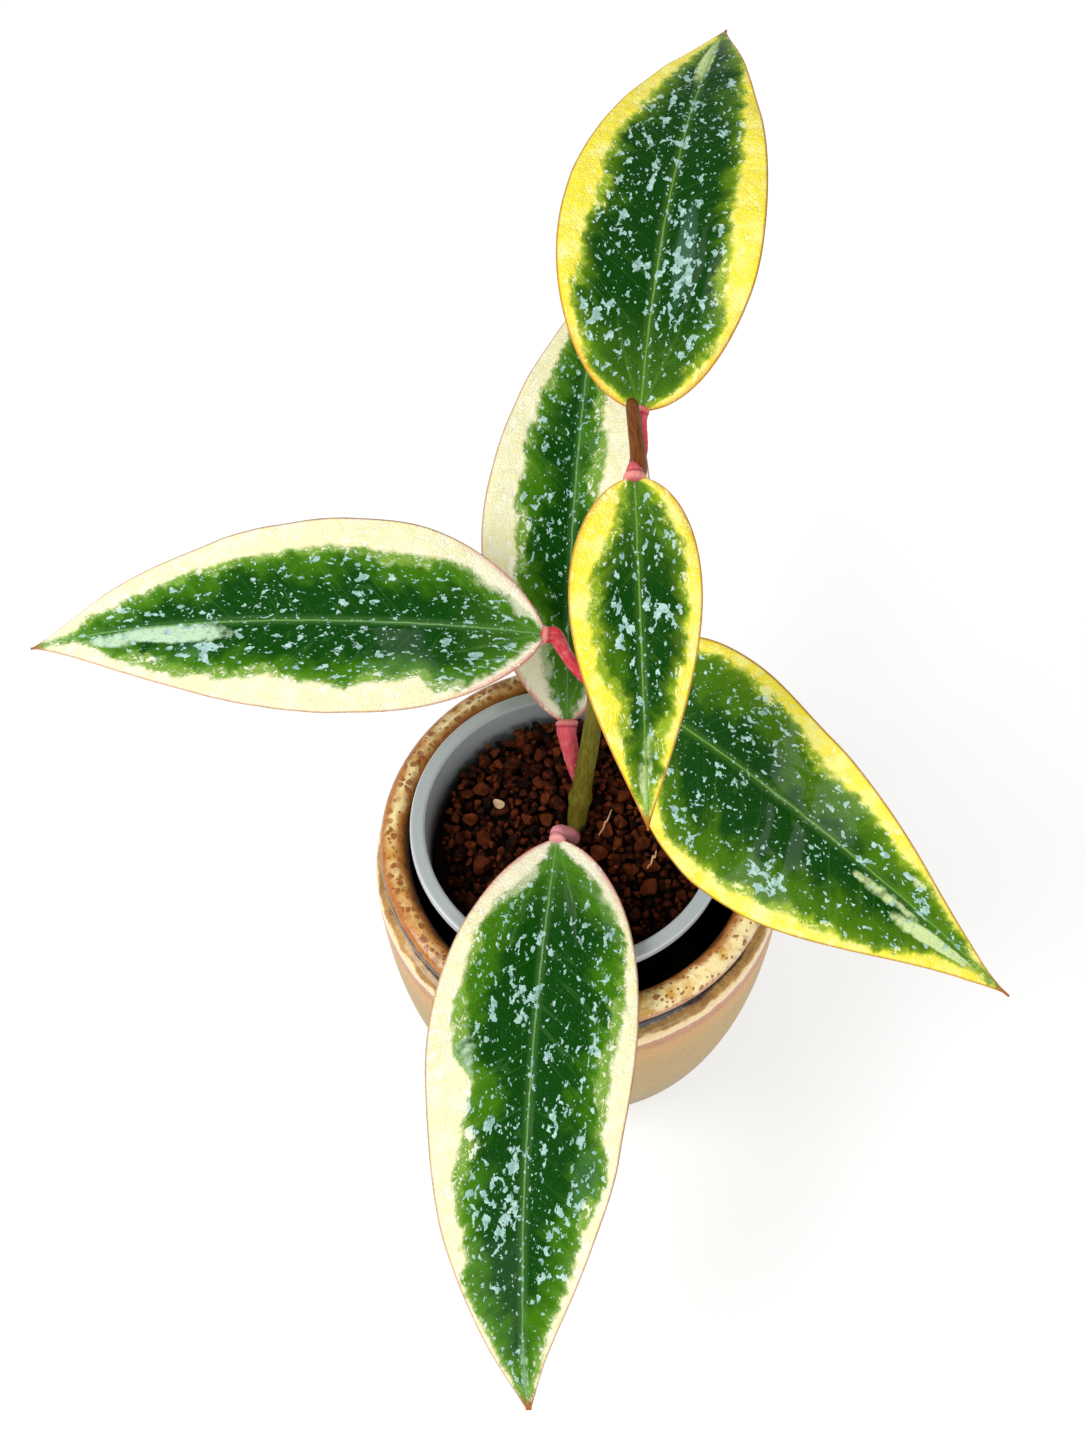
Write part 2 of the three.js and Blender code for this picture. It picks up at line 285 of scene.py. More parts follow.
# %% Effects and finishes
def new_effect(name, inputs, outputs):
    """An empty node group. An input starts as a number, as 3 numbers (a place) or 4 (a colour)."""
    group = bpy.data.node_groups.new(name, "ShaderNodeTree")
    for label, first in inputs.items():
        kind = {3: "Vector", 4: "Color"}[len(first)] if isinstance(first, tuple) else "Float"
        socket = group.interface.new_socket(label, in_out="INPUT", socket_type="NodeSocket" + kind)
        socket.default_value = first
    for label in outputs:
        kind = "Color" if label == "Colour" else "Float"
        group.interface.new_socket(label, in_out="OUTPUT", socket_type="NodeSocket" + kind)
    given = Outputs(group.nodes.new("NodeGroupInput"))
    return group, given, group.nodes.new("NodeGroupOutput").inputs


def use_effect(group, inputs):
    return put("Group", inputs, node_tree=group)


def new_finish(name, **fixed):
    """A material, its node tree and the inputs of its shader, some of which get fixed values."""
    material = bpy.data.materials.new(name)
    material.use_nodes = True
    shader = material.node_tree.nodes["Principled BSDF"].inputs
    for label, value in fixed.items():
        shader[label.replace("_", " ")].default_value = value
    return material, material.node_tree, shader


def dress(shader, skin, roughness, height, distance):
    """Wires the colour, the roughness and the relief, which is the given distance deep, in metres."""
    wire(skin, shader["Base Color"])
    wire(roughness, shader["Roughness"])
    wire(put("Bump", {"Strength": 1.0, "Distance": distance, "Height": height})[0], shader["Normal"])


# %% [markdown]
# ## Building meshes
# Pots, stalks and leaves are all skins over rows of points. A pot is a profile turned round an axis,
# a stalk is a row of rings along a curve, and a leaf is a row of flat rings. So one function makes
# the faces between rows, one draws a smooth curve through a few given points, and one turns the
# points into an object that rides on the frame's body and replaces its part.

# %% Mesh helpers
def smooth_path(points, per_span):
    """A curve that passes through every given point, with per_span steps between two of them."""
    given = np.asarray(points, float)
    ends = (2 * given[0] - given[1], 2 * given[-1] - given[-2])
    p = np.vstack([ends[0], given, ends[1]])
    t = np.linspace(0, 1, per_span, endpoint=False)[:, None]
    spans = []
    for a, b, c, d in zip(p, p[1:], p[2:], p[3:]):
        bend = (2 * a - 5 * b + 4 * c - d) * t**2 + (3 * b - a - 3 * c + d) * t**3
        spans.append(0.5 * (2 * b + (c - a) * t + bend))
    return np.vstack([*spans, given[-1:]])


def skin_faces(rows, columns):
    """Four-sided faces between rings of points, and one face that closes each end."""
    row = np.arange(rows - 1)[:, None] * columns
    here = np.arange(columns)[None, :]
    after = (here + 1) % columns
    sides = np.stack([row + here, row + after, row + columns + after, row + columns + here], -1)
    first = list(range(columns))[::-1]
    last = list(range((rows - 1) * columns, rows * columns))
    return [*sides.reshape(-1, 4).tolist(), first, last]


def make_piece(name, points, faces, finish, nodes=(), values=None):
    """An object from points in mm. values are numbers kept at each point for the finish to read."""
    mesh = bpy.data.meshes.new(name)
    mesh.from_pydata((np.asarray(points) * MM).tolist(), [], faces)
    mesh.shade_smooth()
    for label, numbers in (values or {}).items():
        numbers = np.asarray(numbers, np.float32)
        kind, key = ("FLOAT", "value") if numbers.ndim == 1 else ("FLOAT_VECTOR", "vector")
        mesh.attributes.new(label, kind, "POINT").data.foreach_set(key, numbers.ravel())
    mesh.materials.append(finish)
    piece = bpy.data.objects.new(name, mesh)
    bpy.context.collection.objects.link(piece)
    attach(piece, "root")
    if nodes:
        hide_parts(*nodes)
    print(name, len(mesh.vertices), "points")
    return piece


# %% [markdown]
# ## Shared effect: mottle
# Fired clay, old bark and moulded plastic are never one even colour. This effect gives two soft
# clouds of different sizes in one value, and a finer grain for the relief.

# %% Mottle
def build_mottle():
    inputs = {"Place": (0, 0, 0), "Scale": 100.0, "Contrast": 1.0}
    group, given, result = new_effect("mottle", inputs, ["Mottle", "Grain"])
    place, scale = given["Place"], given["Scale"]
    both = cloud(place, scale * 5.3, 3, 0.6) * 0.35 + cloud(place, scale, 4, 0.6, 0.4) * 0.65
    spread = (both - 0.5) * given["Contrast"]
    wire(put("Clamp", {0: spread * 2.6 + 0.5})[0], result["Mottle"])
    wire(cloud(place, scale * 17.0, 2, 0.6), result["Grain"])
    return group


MOTTLE = build_mottle()


def mottled(tree, scale, contrast):
    """The effect at the places of the object itself."""
    return use_effect(MOTTLE, {"Place": object_place(tree), "Scale": scale, "Contrast": contrast})


print("mottle gives", [s.name for s in MOTTLE.interface.items_tree if s.in_out == "OUTPUT"])

# %% [markdown]
# ## Cover pot
# The cover pot is thrown stoneware: a bowl that widens upwards, a raised shoulder, a groove where the
# glaze pools dark, and a thick rounded lip. It could be a lathe of a few straight lines, but glaze
# makes every edge soft, so the profile is a smooth curve through the measured points. A turned pot is
# never quite round, and the wall wanders by a few tenths of a millimetre.

# %% Cover pot shape
POT_OUTSIDE = [
    (0.05, 0), (20, 0), (36, 0), (40.5, 1.2), (44.8, 4.6), (50.3, 16.5), (54.1, 33), (56.2, 48),
    (57.5, 63), (58.3, 78), (58.4, 88), (57.6, 91.2), (55.4, 92.6), (54.2, 93.8), (54, 95.6),
]
POT_LIP = [
    (54.6, 97.2), (56, 98.6), (56.4, 100.4), (56, 102.6), (54.6, 103.9), (52.2, 104.4),
    (50, 103.4), (48.6, 101.6), (47.9, 99),
]
POT_INSIDE = [
    (48, 95), (49.8, 88), (51.2, 77), (50.6, 60), (49, 42), (46.2, 26), (42.8, 16), (38.5, 11),
    (34, 10), (20, 10), (0.05, 10),
]
POT_AROUND = 224
MOUTH_OFF_CENTRE = 0.9
POT_WOBBLE = 0.006
POT_HEIGHT = 104


def turned_points(profile, around, wobble=0.0):
    """Rings of points from a profile of (radius, height), turned a little out of round by a wobble."""
    angle = np.arange(around) / around * 2 * np.pi
    radius = profile[:, 0][:, None] * np.ones(around)
    lift = profile[:, 1][:, None] * np.ones(around)
    if wobble:
        for k, row in enumerate(profile):
            for j, turn in enumerate(angle):
                spot = Vector((math.cos(turn) * 1.3, math.sin(turn) * 1.3, row[1] * 0.02))
                radius[k, j] *= 1 + wobble * noise.noise(spot)
    points = np.stack([radius * np.cos(angle), radius * np.sin(angle), lift], -1)
    return points.reshape(-1, 3)


def path_length(profile):
    return np.concatenate([[0], np.cumsum(np.linalg.norm(np.diff(profile, axis=0), axis=1))])


pot_profile = smooth_path(POT_OUTSIDE + POT_LIP + POT_INSIDE, 5)
pot_profile[:, 1] = np.maximum(pot_profile[:, 1], 0)
pot_run = path_length(pot_profile)


def run_at(point):
    """How far along the profile a given corner lies, in mm."""
    return pot_run[np.argmin(np.linalg.norm(pot_profile - np.array(point), axis=1))]


SHOULDER = run_at((58.4, 88))
GROOVE = run_at((55.4, 92.6))
LIP = run_at((54.6, 97.2))
LIP_TOP = run_at((52.2, 104.4))
LIP_END = run_at((47.9, 99))
print("mm along the profile:", [round(v) for v in (SHOULDER, GROOVE, LIP, LIP_TOP, LIP_END)])

# %% [markdown]
# ## Cover pot glaze
# The glaze changes with the form, because it runs off raised edges and gathers in hollows. From the
# foot up: a satin tan body that turns pink towards the shoulder, a shoulder with cream and ochre, a
# nearly black groove, and a cream and golden lip. There the iron in the clay came through as red-brown
# cells, most of all on the left, with fine specks between them. Inside it is almost black. Each point
# knows how far along the profile it lies, so the bands are masks of that distance, and noise shifts
# the distance so that they wander as run glaze does. The cells come from a Voronoi texture, drawn at
# shaken places so that no two have the same outline.

# %% Glaze
# Each kind of cell: scale, how far its places are shaken, share left out right and left, and size
CELLS = [(400.0, 0.002, 0.66, 0.05, 0.5), (700.0, 0.001, 0.5, 0.5, 0.42)]


def build_glaze():
    material, tree, shader = new_finish("stoneware_glaze", Coat_Roughness=0.08, IOR=1.45,
                                        Specular_IOR_Level=0.25)
    place = object_place(tree)
    effect = mottled(tree, 70.0, 1.2)
    mottle, grain = effect["Mottle"], effect["Grain"]
    ragged = swing(place, 160.0, 3, 0.6)
    wander = mottle * 1.6 + (stored(tree, "run") - 0.8)
    frayed = ragged * 4.5 + wander

    # Body: tan, pinker towards the shoulder and greyer towards the foot
    body = layers(
        colour(0.45, 0.31, 0.12),
        (mask(wander, SHOULDER - 26, SHOULDER - 6), colour(0.60, 0.335, 0.12)),
        (mask(wander, SHOULDER - 34, SHOULDER - 75), colour(0.32, 0.245, 0.13)),
        (mottle * 0.2, colour(0.60, 0.40, 0.21)),
        (mask(frayed, SHOULDER - 9, SHOULDER - 1.5, 0, 0.85), colour(0.46, 0.17, 0.085)),
    )

    # Shoulder: a bright cream edge, and ochre above it that breaks up raggedly
    ochre = mix(mottle, colour(0.62, 0.36, 0.10), colour(0.26, 0.11, 0.022))
    shoulder = mix(mask(frayed, SHOULDER + 2.2, SHOULDER + 3.4), colour(0.9, 0.67, 0.35), ochre)
    outside = layers(
        body,
        (mask(wander, SHOULDER - 1.2, SHOULDER - 0.4), shoulder),
        (mask(wander, GROOVE - 0.5, GROOVE + 0.6), colour(0.020, 0.009, 0.008)),
    )

    # Lip: cream and gold, more amber on the left and olive towards the inside
    thin = mask(ragged * 0.03 + split(place)[0], 0.02, -0.03)
    amber = thin * mask(cloud(place, 75.0, 3, 0.6), 0.35, 0.62, 0.05, 0.7)
    lip = layers(
        colour(0.92, 0.75, 0.38),
        (mask(cloud(place, 110.0, 3, 0.6), 0.45, 0.64), colour(0.62, 0.33, 0.05)),
        (amber, colour(0.52, 0.20, 0.022)),
        (mask(frayed, LIP_TOP - 0.5, LIP_TOP + 3.5, 0, 0.6), colour(0.40, 0.17, 0.02)),
    )

    # Red-brown cells, few and small on the right, many on the left, and fine specks everywhere
    for scale, shaken, right, left, size in CELLS:
        cells = put("TexVoronoi", {"Vector": shake(place, 420.0, shaken), "Scale": scale})
        chance = put("SeparateColor", {0: cells["Color"]})[0]
        shown = mask(chance - mask(thin, 0.0, 1.0, right, left), 0.0, 0.12)
        spot = mask(cells["Distance"], size, size - 0.2) * shown
        lip = mix(spot * 0.85, lip, colour(0.24, 0.055, 0.005))

    # Burnt clouds, then the lip's edges: rust and nearly black outside, brown inside
    lip = layers(
        lip,
        (mask(cloud(place, 95.0, 4, 0.65), 0.57, 0.68, 0, 0.7), colour(0.24, 0.07, 0.014)),
        (mask(thin * -3.0 + frayed, LIP + 6.6, LIP + 4.0, 0, 0.9), colour(0.43, 0.14, 0.018)),
        (mask(frayed, LIP_END - 7.5, LIP_END - 5.0, 0, 0.85), colour(0.42, 0.13, 0.015)),
        (mask(frayed, LIP_END - 5.2, LIP_END - 2.8), colour(0.15, 0.05, 0.012)),
        (mask(thin * -3.0 + wander, LIP + 3.4, LIP + 2.4), colour(0.030, 0.010, 0.007)),
    )
    glazed = layers(
        outside,
        (mask(wander, LIP - 0.6, LIP + 0.4), lip),
        (mask(wander, LIP_END - 2.4, LIP_END + 0.2), colour(0.010, 0.006, 0.004)),
    )
    satin = mask(wander, SHOULDER - 5, SHOULDER - 1, 0.44, 0.22)
    glossy = mask(wander, SHOULDER - 5, SHOULDER - 1, 0.05, 0.45)
    wire(glossy * mask(wander, LIP_END + 3, LIP_END - 1, 0.1, 1), shader["Coat Weight"])
    dress(shader, glazed, grain * 0.12 + satin, grain * 0.18 + (spot * -0.25 + mottle), 0.0005)
    return material


GLAZE = build_glaze()
pot_points = turned_points(pot_profile, POT_AROUND, POT_WOBBLE)
pot_points[:, 2] = np.maximum(pot_points[:, 2], 0)
pot_points[:, 0] -= MOUTH_OFF_CENTRE * pot_points[:, 2] / POT_HEIGHT
make_piece("cover_pot_glazed", pot_points, skin_faces(len(pot_profile), POT_AROUND), GLAZE,
           ["cover_pot"], {"run": np.repeat(pot_run, POT_AROUND)})

# %% [markdown]
# ## Nursery pot
# The inner pot is the thin grey nursery pot that the plant was sold in: a tapered wall of 1 mm with a
# broad flat flange round its mouth. It leans a little, because it is narrower than the cover pot and
# rests in it askew. So it is turned upright first, and then placed by the same lean as in the frame.
# Its base has six drain holes, which are cut with a boolean as a punch would do it.

# %% Nursery pot shape
LEAN_BACK, LEAN_RIGHT = -0.045, 0.03
LEAN_TURN = np.array(Matrix.Rotation(LEAN_BACK, 3, "X") @ Matrix.Rotation(LEAN_RIGHT, 3, "Y"))
LEAN_SHIFT = np.array((-6.365, -1.8975, 11.976))
NURSERY_PROFILE = [
    (0.05, 0), (16, 0), (26, 0), (29.7, 0.1), (30.6, 0.5), (31, 1.2), (31.6, 6), (36.2, 46), (40.9, 86),
    (41.5, 91), (41.8, 92), (42.6, 92.3), (44.6, 92.3), (45, 92.6), (45, 93.2), (45, 94.9),
    (44.7, 95.3), (44.1, 95.5), (43, 95.5), (41.6, 95.5), (41.1, 95.2), (40.8, 94.6), (40.2, 90),
    (38, 70), (34, 33), (30.6, 5), (30.1, 2.4), (28, 1.05), (26, 1), (16, 1), (0.05, 1),
]
NURSERY_AROUND = 160
BED_HEIGHT = 79.5


def lean_over(points):
    """From the upright nursery pot to its place in the cover pot."""
    return np.asarray(points) @ LEAN_TURN.T + LEAN_SHIFT


def stand_up(points):
    """From its place in the cover pot back to the upright nursery pot."""
    return (np.asarray(points) - LEAN_SHIFT) @ LEAN_TURN


nursery_profile = smooth_path(NURSERY_PROFILE, 4)
nursery_local = turned_points(nursery_profile, NURSERY_AROUND)
print("nursery pot mouth", round(float(nursery_local[:, 2].max()), 1), "mm above its base")

# %% [markdown]
# ## Nursery pot plastic
# The plastic is pale grey and slightly see-through. Its flange is bright, with a thin white outer edge
# that is a painted highlight, and the wall below darkens towards the granules in grey and brown
# mottles: painted shade of the pot's inside, partly the dark clay showing through the plastic. True
# see-through plastic over dark clay would need many light bounces for the same look, so the wall's
# own colour darkens with depth instead.

# %% Plastic
DRAIN_HOLES, DRAIN_CIRCLE, DRAIN_RADIUS, PUNCH_SIDES = 6, 21, 3.5, 24


def build_plastic():
    material, tree, shader = new_finish("grey_plastic", IOR=1.49, Subsurface_Scale=0.002,
                                        Subsurface_Weight=0.15)
    effect = mottled(tree, 45.0, 0.8)
    mottle, grain = effect["Mottle"], effect["Grain"]
    level = stored(tree, "level")
    shifted = mottle * 2.4 + level
    wall = layers(
        # Nearly black low down and grey above: painted shade inside the pot, partly dark clay seen
        # through
        colour(0.045, 0.046, 0.048),
        (mask(shifted, BED_HEIGHT - 1, 94), colour(0.36, 0.39, 0.41)),
        (mask(level, 93.8, 95.2), colour(0.39, 0.425, 0.44)),
        # A thin white line on the flange's outer edge: a painted highlight
        (mask(stored(tree, "reach"), 44.5, 44.95) * 0.8, colour(0.66, 0.70, 0.72)),
        # Brown mottles near the granules: more painted shade, with dark clay seen through the plastic
        (mottle * mask(shifted, 86, 80) * 0.5, colour(0.08, 0.04, 0.02)),
    )
    dress(shader, wall, grain * 0.25 + 0.24, grain, 0.00008)
    return material


PLASTIC = build_plastic()


def punch_holes(piece):
    """Cuts the six drain holes of 7 mm into the base."""
    rounds, faces = [], []
    ring = np.arange(PUNCH_SIDES) / PUNCH_SIDES * 2 * np.pi
    for k in range(DRAIN_HOLES):
        turn = k / DRAIN_HOLES * 2 * math.pi
        disc = np.stack([DRAIN_CIRCLE * math.cos(turn) + DRAIN_RADIUS * np.cos(ring),
                         DRAIN_CIRCLE * math.sin(turn) + DRAIN_RADIUS * np.sin(ring), 0 * ring], -1)
        rounds += [disc - (0, 0, 2), disc + (0, 0, 2)]
        faces += [[i + 2 * PUNCH_SIDES * k for i in face] for face in skin_faces(2, PUNCH_SIDES)]
    mesh = bpy.data.meshes.new("punch")
    mesh.from_pydata((lean_over(np.vstack(rounds)) * MM).tolist(), [], faces)
    punch = bpy.data.objects.new("punch", mesh)
    bpy.context.collection.objects.link(punch)
    cut = piece.modifiers.new("drain", "BOOLEAN")
    cut.object = punch
    cut.solver = "EXACT"
    graph = bpy.context.evaluated_depsgraph_get()
    pierced = bpy.data.meshes.new_from_object(piece.evaluated_get(graph))
    piece.modifiers.clear()
    piece.data = pierced
    bpy.data.objects.remove(punch)
    print("nursery pot pierced,", len(pierced.vertices), "points")


nursery_values = {"level": nursery_local[:, 2], "reach": np.hypot(*nursery_local[:, :2].T)}
nursery = make_piece("nursery_pot_grey", lean_over(nursery_local),
                     skin_faces(len(nursery_profile), NURSERY_AROUND), PLASTIC,
                     ["nursery_pot"], nursery_values)
punch_holes(nursery)

# %% [markdown]
# ## Main stem
# The stem is a round woody vine, thicker at the three joints where leaves stand in pairs, olive green
# at the foot and brown near the tip. It could be a curve with a bevel, but a mesh of rings lets each
# ring have its own radius, and each point keep its place round and along the stem for the bark.

# %% Stem shape
STEM_ROUTE = [
    (-2.2, 9.3, 76, 2.8), (-1.6, 10.8, 86, 2.8), (-0.9, 12.2, 95.5, 2.8), (0.6, 14.7, 112, 2.7),
    (2.2, 17, 128, 2.6), (3.3, 18.8, 142, 2.5), (4.2, 20.2, 154, 2.6), (6.2, 22.6, 177, 2.35),
    (8.4, 25, 200, 2.2), (11, 27.9, 224, 2.1), (12.9, 30.5, 248.5, 2.0), (12.1, 34.5, 259, 1.85),
    (11.3, 37.2, 265.5, 1.6), (11.1, 38.0, 267.0, 1.1),
]
STEM_JOINTS = [(103, 0.35), (155, 0.55), (248.8, 0.3)]
STEM_AROUND = 40
# Each joint swells over this many mm up and down, with a narrow crease some way above it
JOINT_REACH, JOINT_SHARE = 2.6, 0.55
CREASE_ABOVE, CREASE_REACH, CREASE_DEPTH = 3.4, 0.6, 0.05
BARK_WRINKLE = 0.045


def rings_along(route, around, per_span, shape=None):
    """Rings of points round a smooth curve. route points are (x, y, z, radius)."""
    path = smooth_path(route, per_span)
    centres, radii = path[:, :3], path[:, 3]
    run = path_length(centres)
    forward = np.gradient(centres, axis=0)
    forward /= np.linalg.norm(forward, axis=1)[:, None]
    side = np.cross(forward[0], (0.3, 1, 0.2))
    angle = np.arange(around) / around * 2 * np.pi
    rows = []
    for centre, radius, ahead, along in zip(centres, radii, forward, run):
        side = side - ahead * side.dot(ahead)
        side /= np.linalg.norm(side)
        other = np.cross(ahead, side)
        reach = radius * (shape(angle, along, centre) if shape else np.ones(around))
        rows.append(centre + reach[:, None] * (np.cos(angle)[:, None] * side
                                               + np.sin(angle)[:, None] * other))
    points = np.stack(rows)
    girth = np.broadcast_to(angle / (2 * np.pi), (len(run), around))
    length = np.broadcast_to(run[:, None], (len(run), around))
    place = np.stack([girth, length, length / run[-1]], -1)
    return points.reshape(-1, 3), place.reshape(-1, 3), len(run)


def stem_swelling(angle, along, centre):
    """How far each point of a ring stands out, as a share of the stem's radius there."""
    swell = 1 + 0.03 * np.sin(2 * angle + along * 0.05)
    for height, amount in STEM_JOINTS:
        gap = (centre[2] - height) / JOINT_REACH
        swell = swell + amount * JOINT_SHARE * math.exp(-gap * gap)
        past = (centre[2] - height - CREASE_ABOVE) / CREASE_REACH
        swell = swell - CREASE_DEPTH * math.exp(-past ** 2)
    wrinkle = [noise.noise(Vector((math.cos(a) * 2, math.sin(a) * 2, along * 0.09))) for a in angle]
    return swell + BARK_WRINKLE * np.array(wrinkle)


stem_points, stem_place, stem_rows = rings_along(STEM_ROUTE, STEM_AROUND, 22, stem_swelling)
print("stem of", round(float(stem_place[:, 1].max())), "mm in", stem_rows, "rings")

# %% [markdown]
# ## Shared effect: bark streaks
# The skin of the stem and of the leaf stalks is drawn out lengthwise as it grows, so its marks are
# long thin streaks, with a few short ridges across. Noise that is stretched along the stalk gives
# the streaks. The place is (part of the way round, mm along), so one step round is made much longer.

# %% Bark streaks
def build_bark():
    inputs = {"Place": (0, 0, 0), "Seed": 0.0}
    group, given, result = new_effect("bark_streaks", inputs, ["Streaks", "Blotches", "Relief"])
    around, along, _ = split(given["Place"])
    turn = around * (2 * math.pi)
    east, north = maths("COSINE", turn), maths("SINE", turn)
    up = along + given["Seed"]
    streaks = cloud(join(east, north, up * 0.06), 4.0, 4, 0.6)
    short_way = join(east, north, up * 0.35)
    rings = cloud(stretch(short_way, (0.35, 0.35, 2.2)), 1.6, 2, 0.5)
    wire(streaks, result["Streaks"])
    wire(cloud(short_way, 1.3, 3, 0.6), result["Blotches"])
    wire(streaks * 0.6 + rings * 0.4, result["Relief"])
    return group


BARK = build_bark()


def build_stem_finish():
    material, tree, shader = new_finish("stem_bark", Coat_Weight=0.1, Coat_Roughness=0.25, IOR=1.4,
                                        Specular_IOR_Level=0.2)
    bark = use_effect(BARK, {"Place": stored(tree, "place", AS_VECTOR), "Seed": 3.0})
    streaks, blotches = bark["Streaks"], bark["Blotches"]
    height = blotches * 0.03 + split(object_place(tree))[2]
    green = mix(mask(streaks, 0.3, 0.7), colour(0.10, 0.088, 0.006), colour(0.19, 0.165, 0.022))
    wood = mix(mask(streaks, 0.35, 0.65), colour(0.085, 0.02, 0.001), colour(0.20, 0.062, 0.004))
    skin = layers(
        green,
        (mask(height, 0.150, 0.262), wood),
        (mask(blotches, 0.6, 0.7) * 0.2, colour(0.24, 0.15, 0.06)),
    )
    dress(shader, skin, mask(streaks, 0.3, 0.7, 0.36, 0.56), bark["Relief"], 0.0004)
    return material


make_piece("vine_stem", stem_points, skin_faces(stem_rows, STEM_AROUND), build_stem_finish(),
           ["main_stem"], {"place": stem_place})

# %% [markdown]
# ## Leaves: the blade's form
# Each leaf is described as a botanist would: where its base is, how long it is, which way it heads
# and how it droops from base to tip, how far it is rolled to one side, and how wide it is on either
# side of its main nerve. The blade is folded up a little along that nerve. These are the numbers
# of the frame's leaves. The visible blade adds what those leave out: a sunken main nerve with a keel
# underneath, two side nerves, a wavy margin and a rounded edge. A number for each side of the blade
# is given for the left side first, and a number that changes along the leaf for its base first.

# %% Leaf numbers
LEAVES = {
    "lower_front": {
        "base": (-7, -3, 109), "length": 163, "heading": (-98, -91), "elevation": (11, -47),
        "roll": (3, -5), "half_width": (28, 29), "peak": (0.67, 0.77), "taper": (0.85, 1),
        "fold": 0.1, "cream": True,
    },
    "lower_back": {
        "base": (-4, 26, 124.5), "length": 157, "heading": (89, 81), "elevation": (23, -20),
        "roll": (-1, 0), "half_width": (25.5, 25.5), "peak": (0.71, 0.75), "taper": (0.9, 1.1),
        "fold": 0.12, "cream": True,
    },
    "middle_left": {
        "base": (-10, 30, 168), "length": 148, "heading": (177, 174), "elevation": (10, -30),
        "roll": (-1, -8), "half_width": (28, 30), "peak": (0.69, 0.71), "taper": (0.9, 1.1),
        "fold": 0.11, "cream": True,
    },
    "middle_right": {
        "base": (15.5, 14, 160.5), "length": 134, "heading": (-53, -36), "elevation": (36, -31),
        "roll": (42, 15), "half_width": (24.5, 31), "peak": (0.45, 0.72), "taper": (0.7, 1.3),
        "fold": 0.09, "cream": False,
    },
    "upper_front": {
        "base": (12, 26.5, 251), "length": 86, "heading": (-89, -88), "elevation": (-7, -37),
        "roll": (2, 0), "half_width": (15, 17), "peak": (0.62, 0.68), "taper": (0.8, 1.05),
        "fold": 0.1, "cream": False,
    },
    "upper_back": {
        "base": (13.5, 40, 259.5), "length": 140, "heading": (84, 73), "elevation": (16, -30),
        "roll": (0, -11), "half_width": (25.5, 25), "peak": (0.72, 0.69), "taper": (0.7, 1.2),
        "fold": 0.12, "cream": False,
    },
}
BLADE = 1.4
ALONG, ACROSS = 168, 56

# %% [markdown]
# The formula's outline is smooth, and a real leaf isn't. So each leaf has a few measured corrections
# in mm at places along it: how far each margin stands further out (or in), and how far the whole
# blade drifts to the left, as when its tip hooks to one side.

# %% Margin corrections
MARGINS = {
    "lower_front": {
        "left": [(0, 0), (0.3, 0), (0.5, 0.3), (0.6, 1.5), (0.75, 1.2), (0.9, 0.3), (1, 0.6)],
        "right": [(0, 0), (0.35, 0), (0.5, -0.6), (0.6, 0.1), (0.72, 1.5), (0.85, 1.3), (1, 0.5)],
        "drift": [(0, 0), (0.6, 0), (0.75, 0.5), (0.88, 1), (1, 2.6)],
    },
    "lower_back": {
        "left": [(0, 0), (0.15, 0.6), (0.3, 0.5), (0.4, 0.1), (0.5, -0.5), (0.7, -0.5), (1, 0)],
        "right": [(0, 0), (0.2, -0.5), (0.35, -2.5), (0.5, -4.2), (0.62, -4.2), (0.75, -2.5),
                  (0.9, 0), (1, 0)],
        "drift": [(0, 0), (1, 0)],
    },
    "middle_left": {
        "left": [(0, 0), (0.1, 0.6), (0.2, 0.5), (0.35, 0), (0.6, 0.1), (0.8, 0.3), (0.9, 0.3),
                 (1, 0)],
        "right": [(0, 0), (0.12, 1.2), (0.25, 0.8), (0.4, -0.2), (0.5, -0.3), (0.6, 0.2), (0.75, 0.8),
                  (0.88, 0.4), (1, 0)],
        "drift": [(0, 0), (0.3, 0), (0.6, -0.5), (0.85, -0.9), (1, -0.3)],
    },
    "middle_right": {
        "left": [(0, 0), (0.25, 0.1), (0.4, -0.5), (0.5, 0.3), (0.65, 0.7), (0.85, 0), (1, 0)],
        "right": [(0, 0), (0.4, 0.2), (0.55, 0.8), (0.7, 0.6), (0.8, 0.4), (0.9, 0.5), (1, 0)],
        "drift": [(0, 0), (0.8, 0), (0.92, -0.3), (1, 0)],
    },
    "upper_front": {
        "left": [(0, 0), (1, 0)], "right": [(0, 0), (1, 0)], "drift": [(0, 0), (1, 0)],
    },
    "upper_back": {
        "left": [(0, 0), (0.1, 0.7), (0.4, 0.6), (0.55, 0.3), (0.7, 0.3), (0.9, 0.1), (1, 0)],
        "right": [(0, 0), (0.1, 0.4), (0.25, 0.6), (0.45, -0.3), (0.7, 0.5), (0.85, 1.2), (1, 0)],
        "drift": [(0, 0), (1, 0)],
    },
}


def eased(stops, t):
    """The value at t of a smooth curve through (t, value) stops."""
    curve = smooth_path(stops, 10)
    return np.interp(t, curve[:, 0], curve[:, 1])
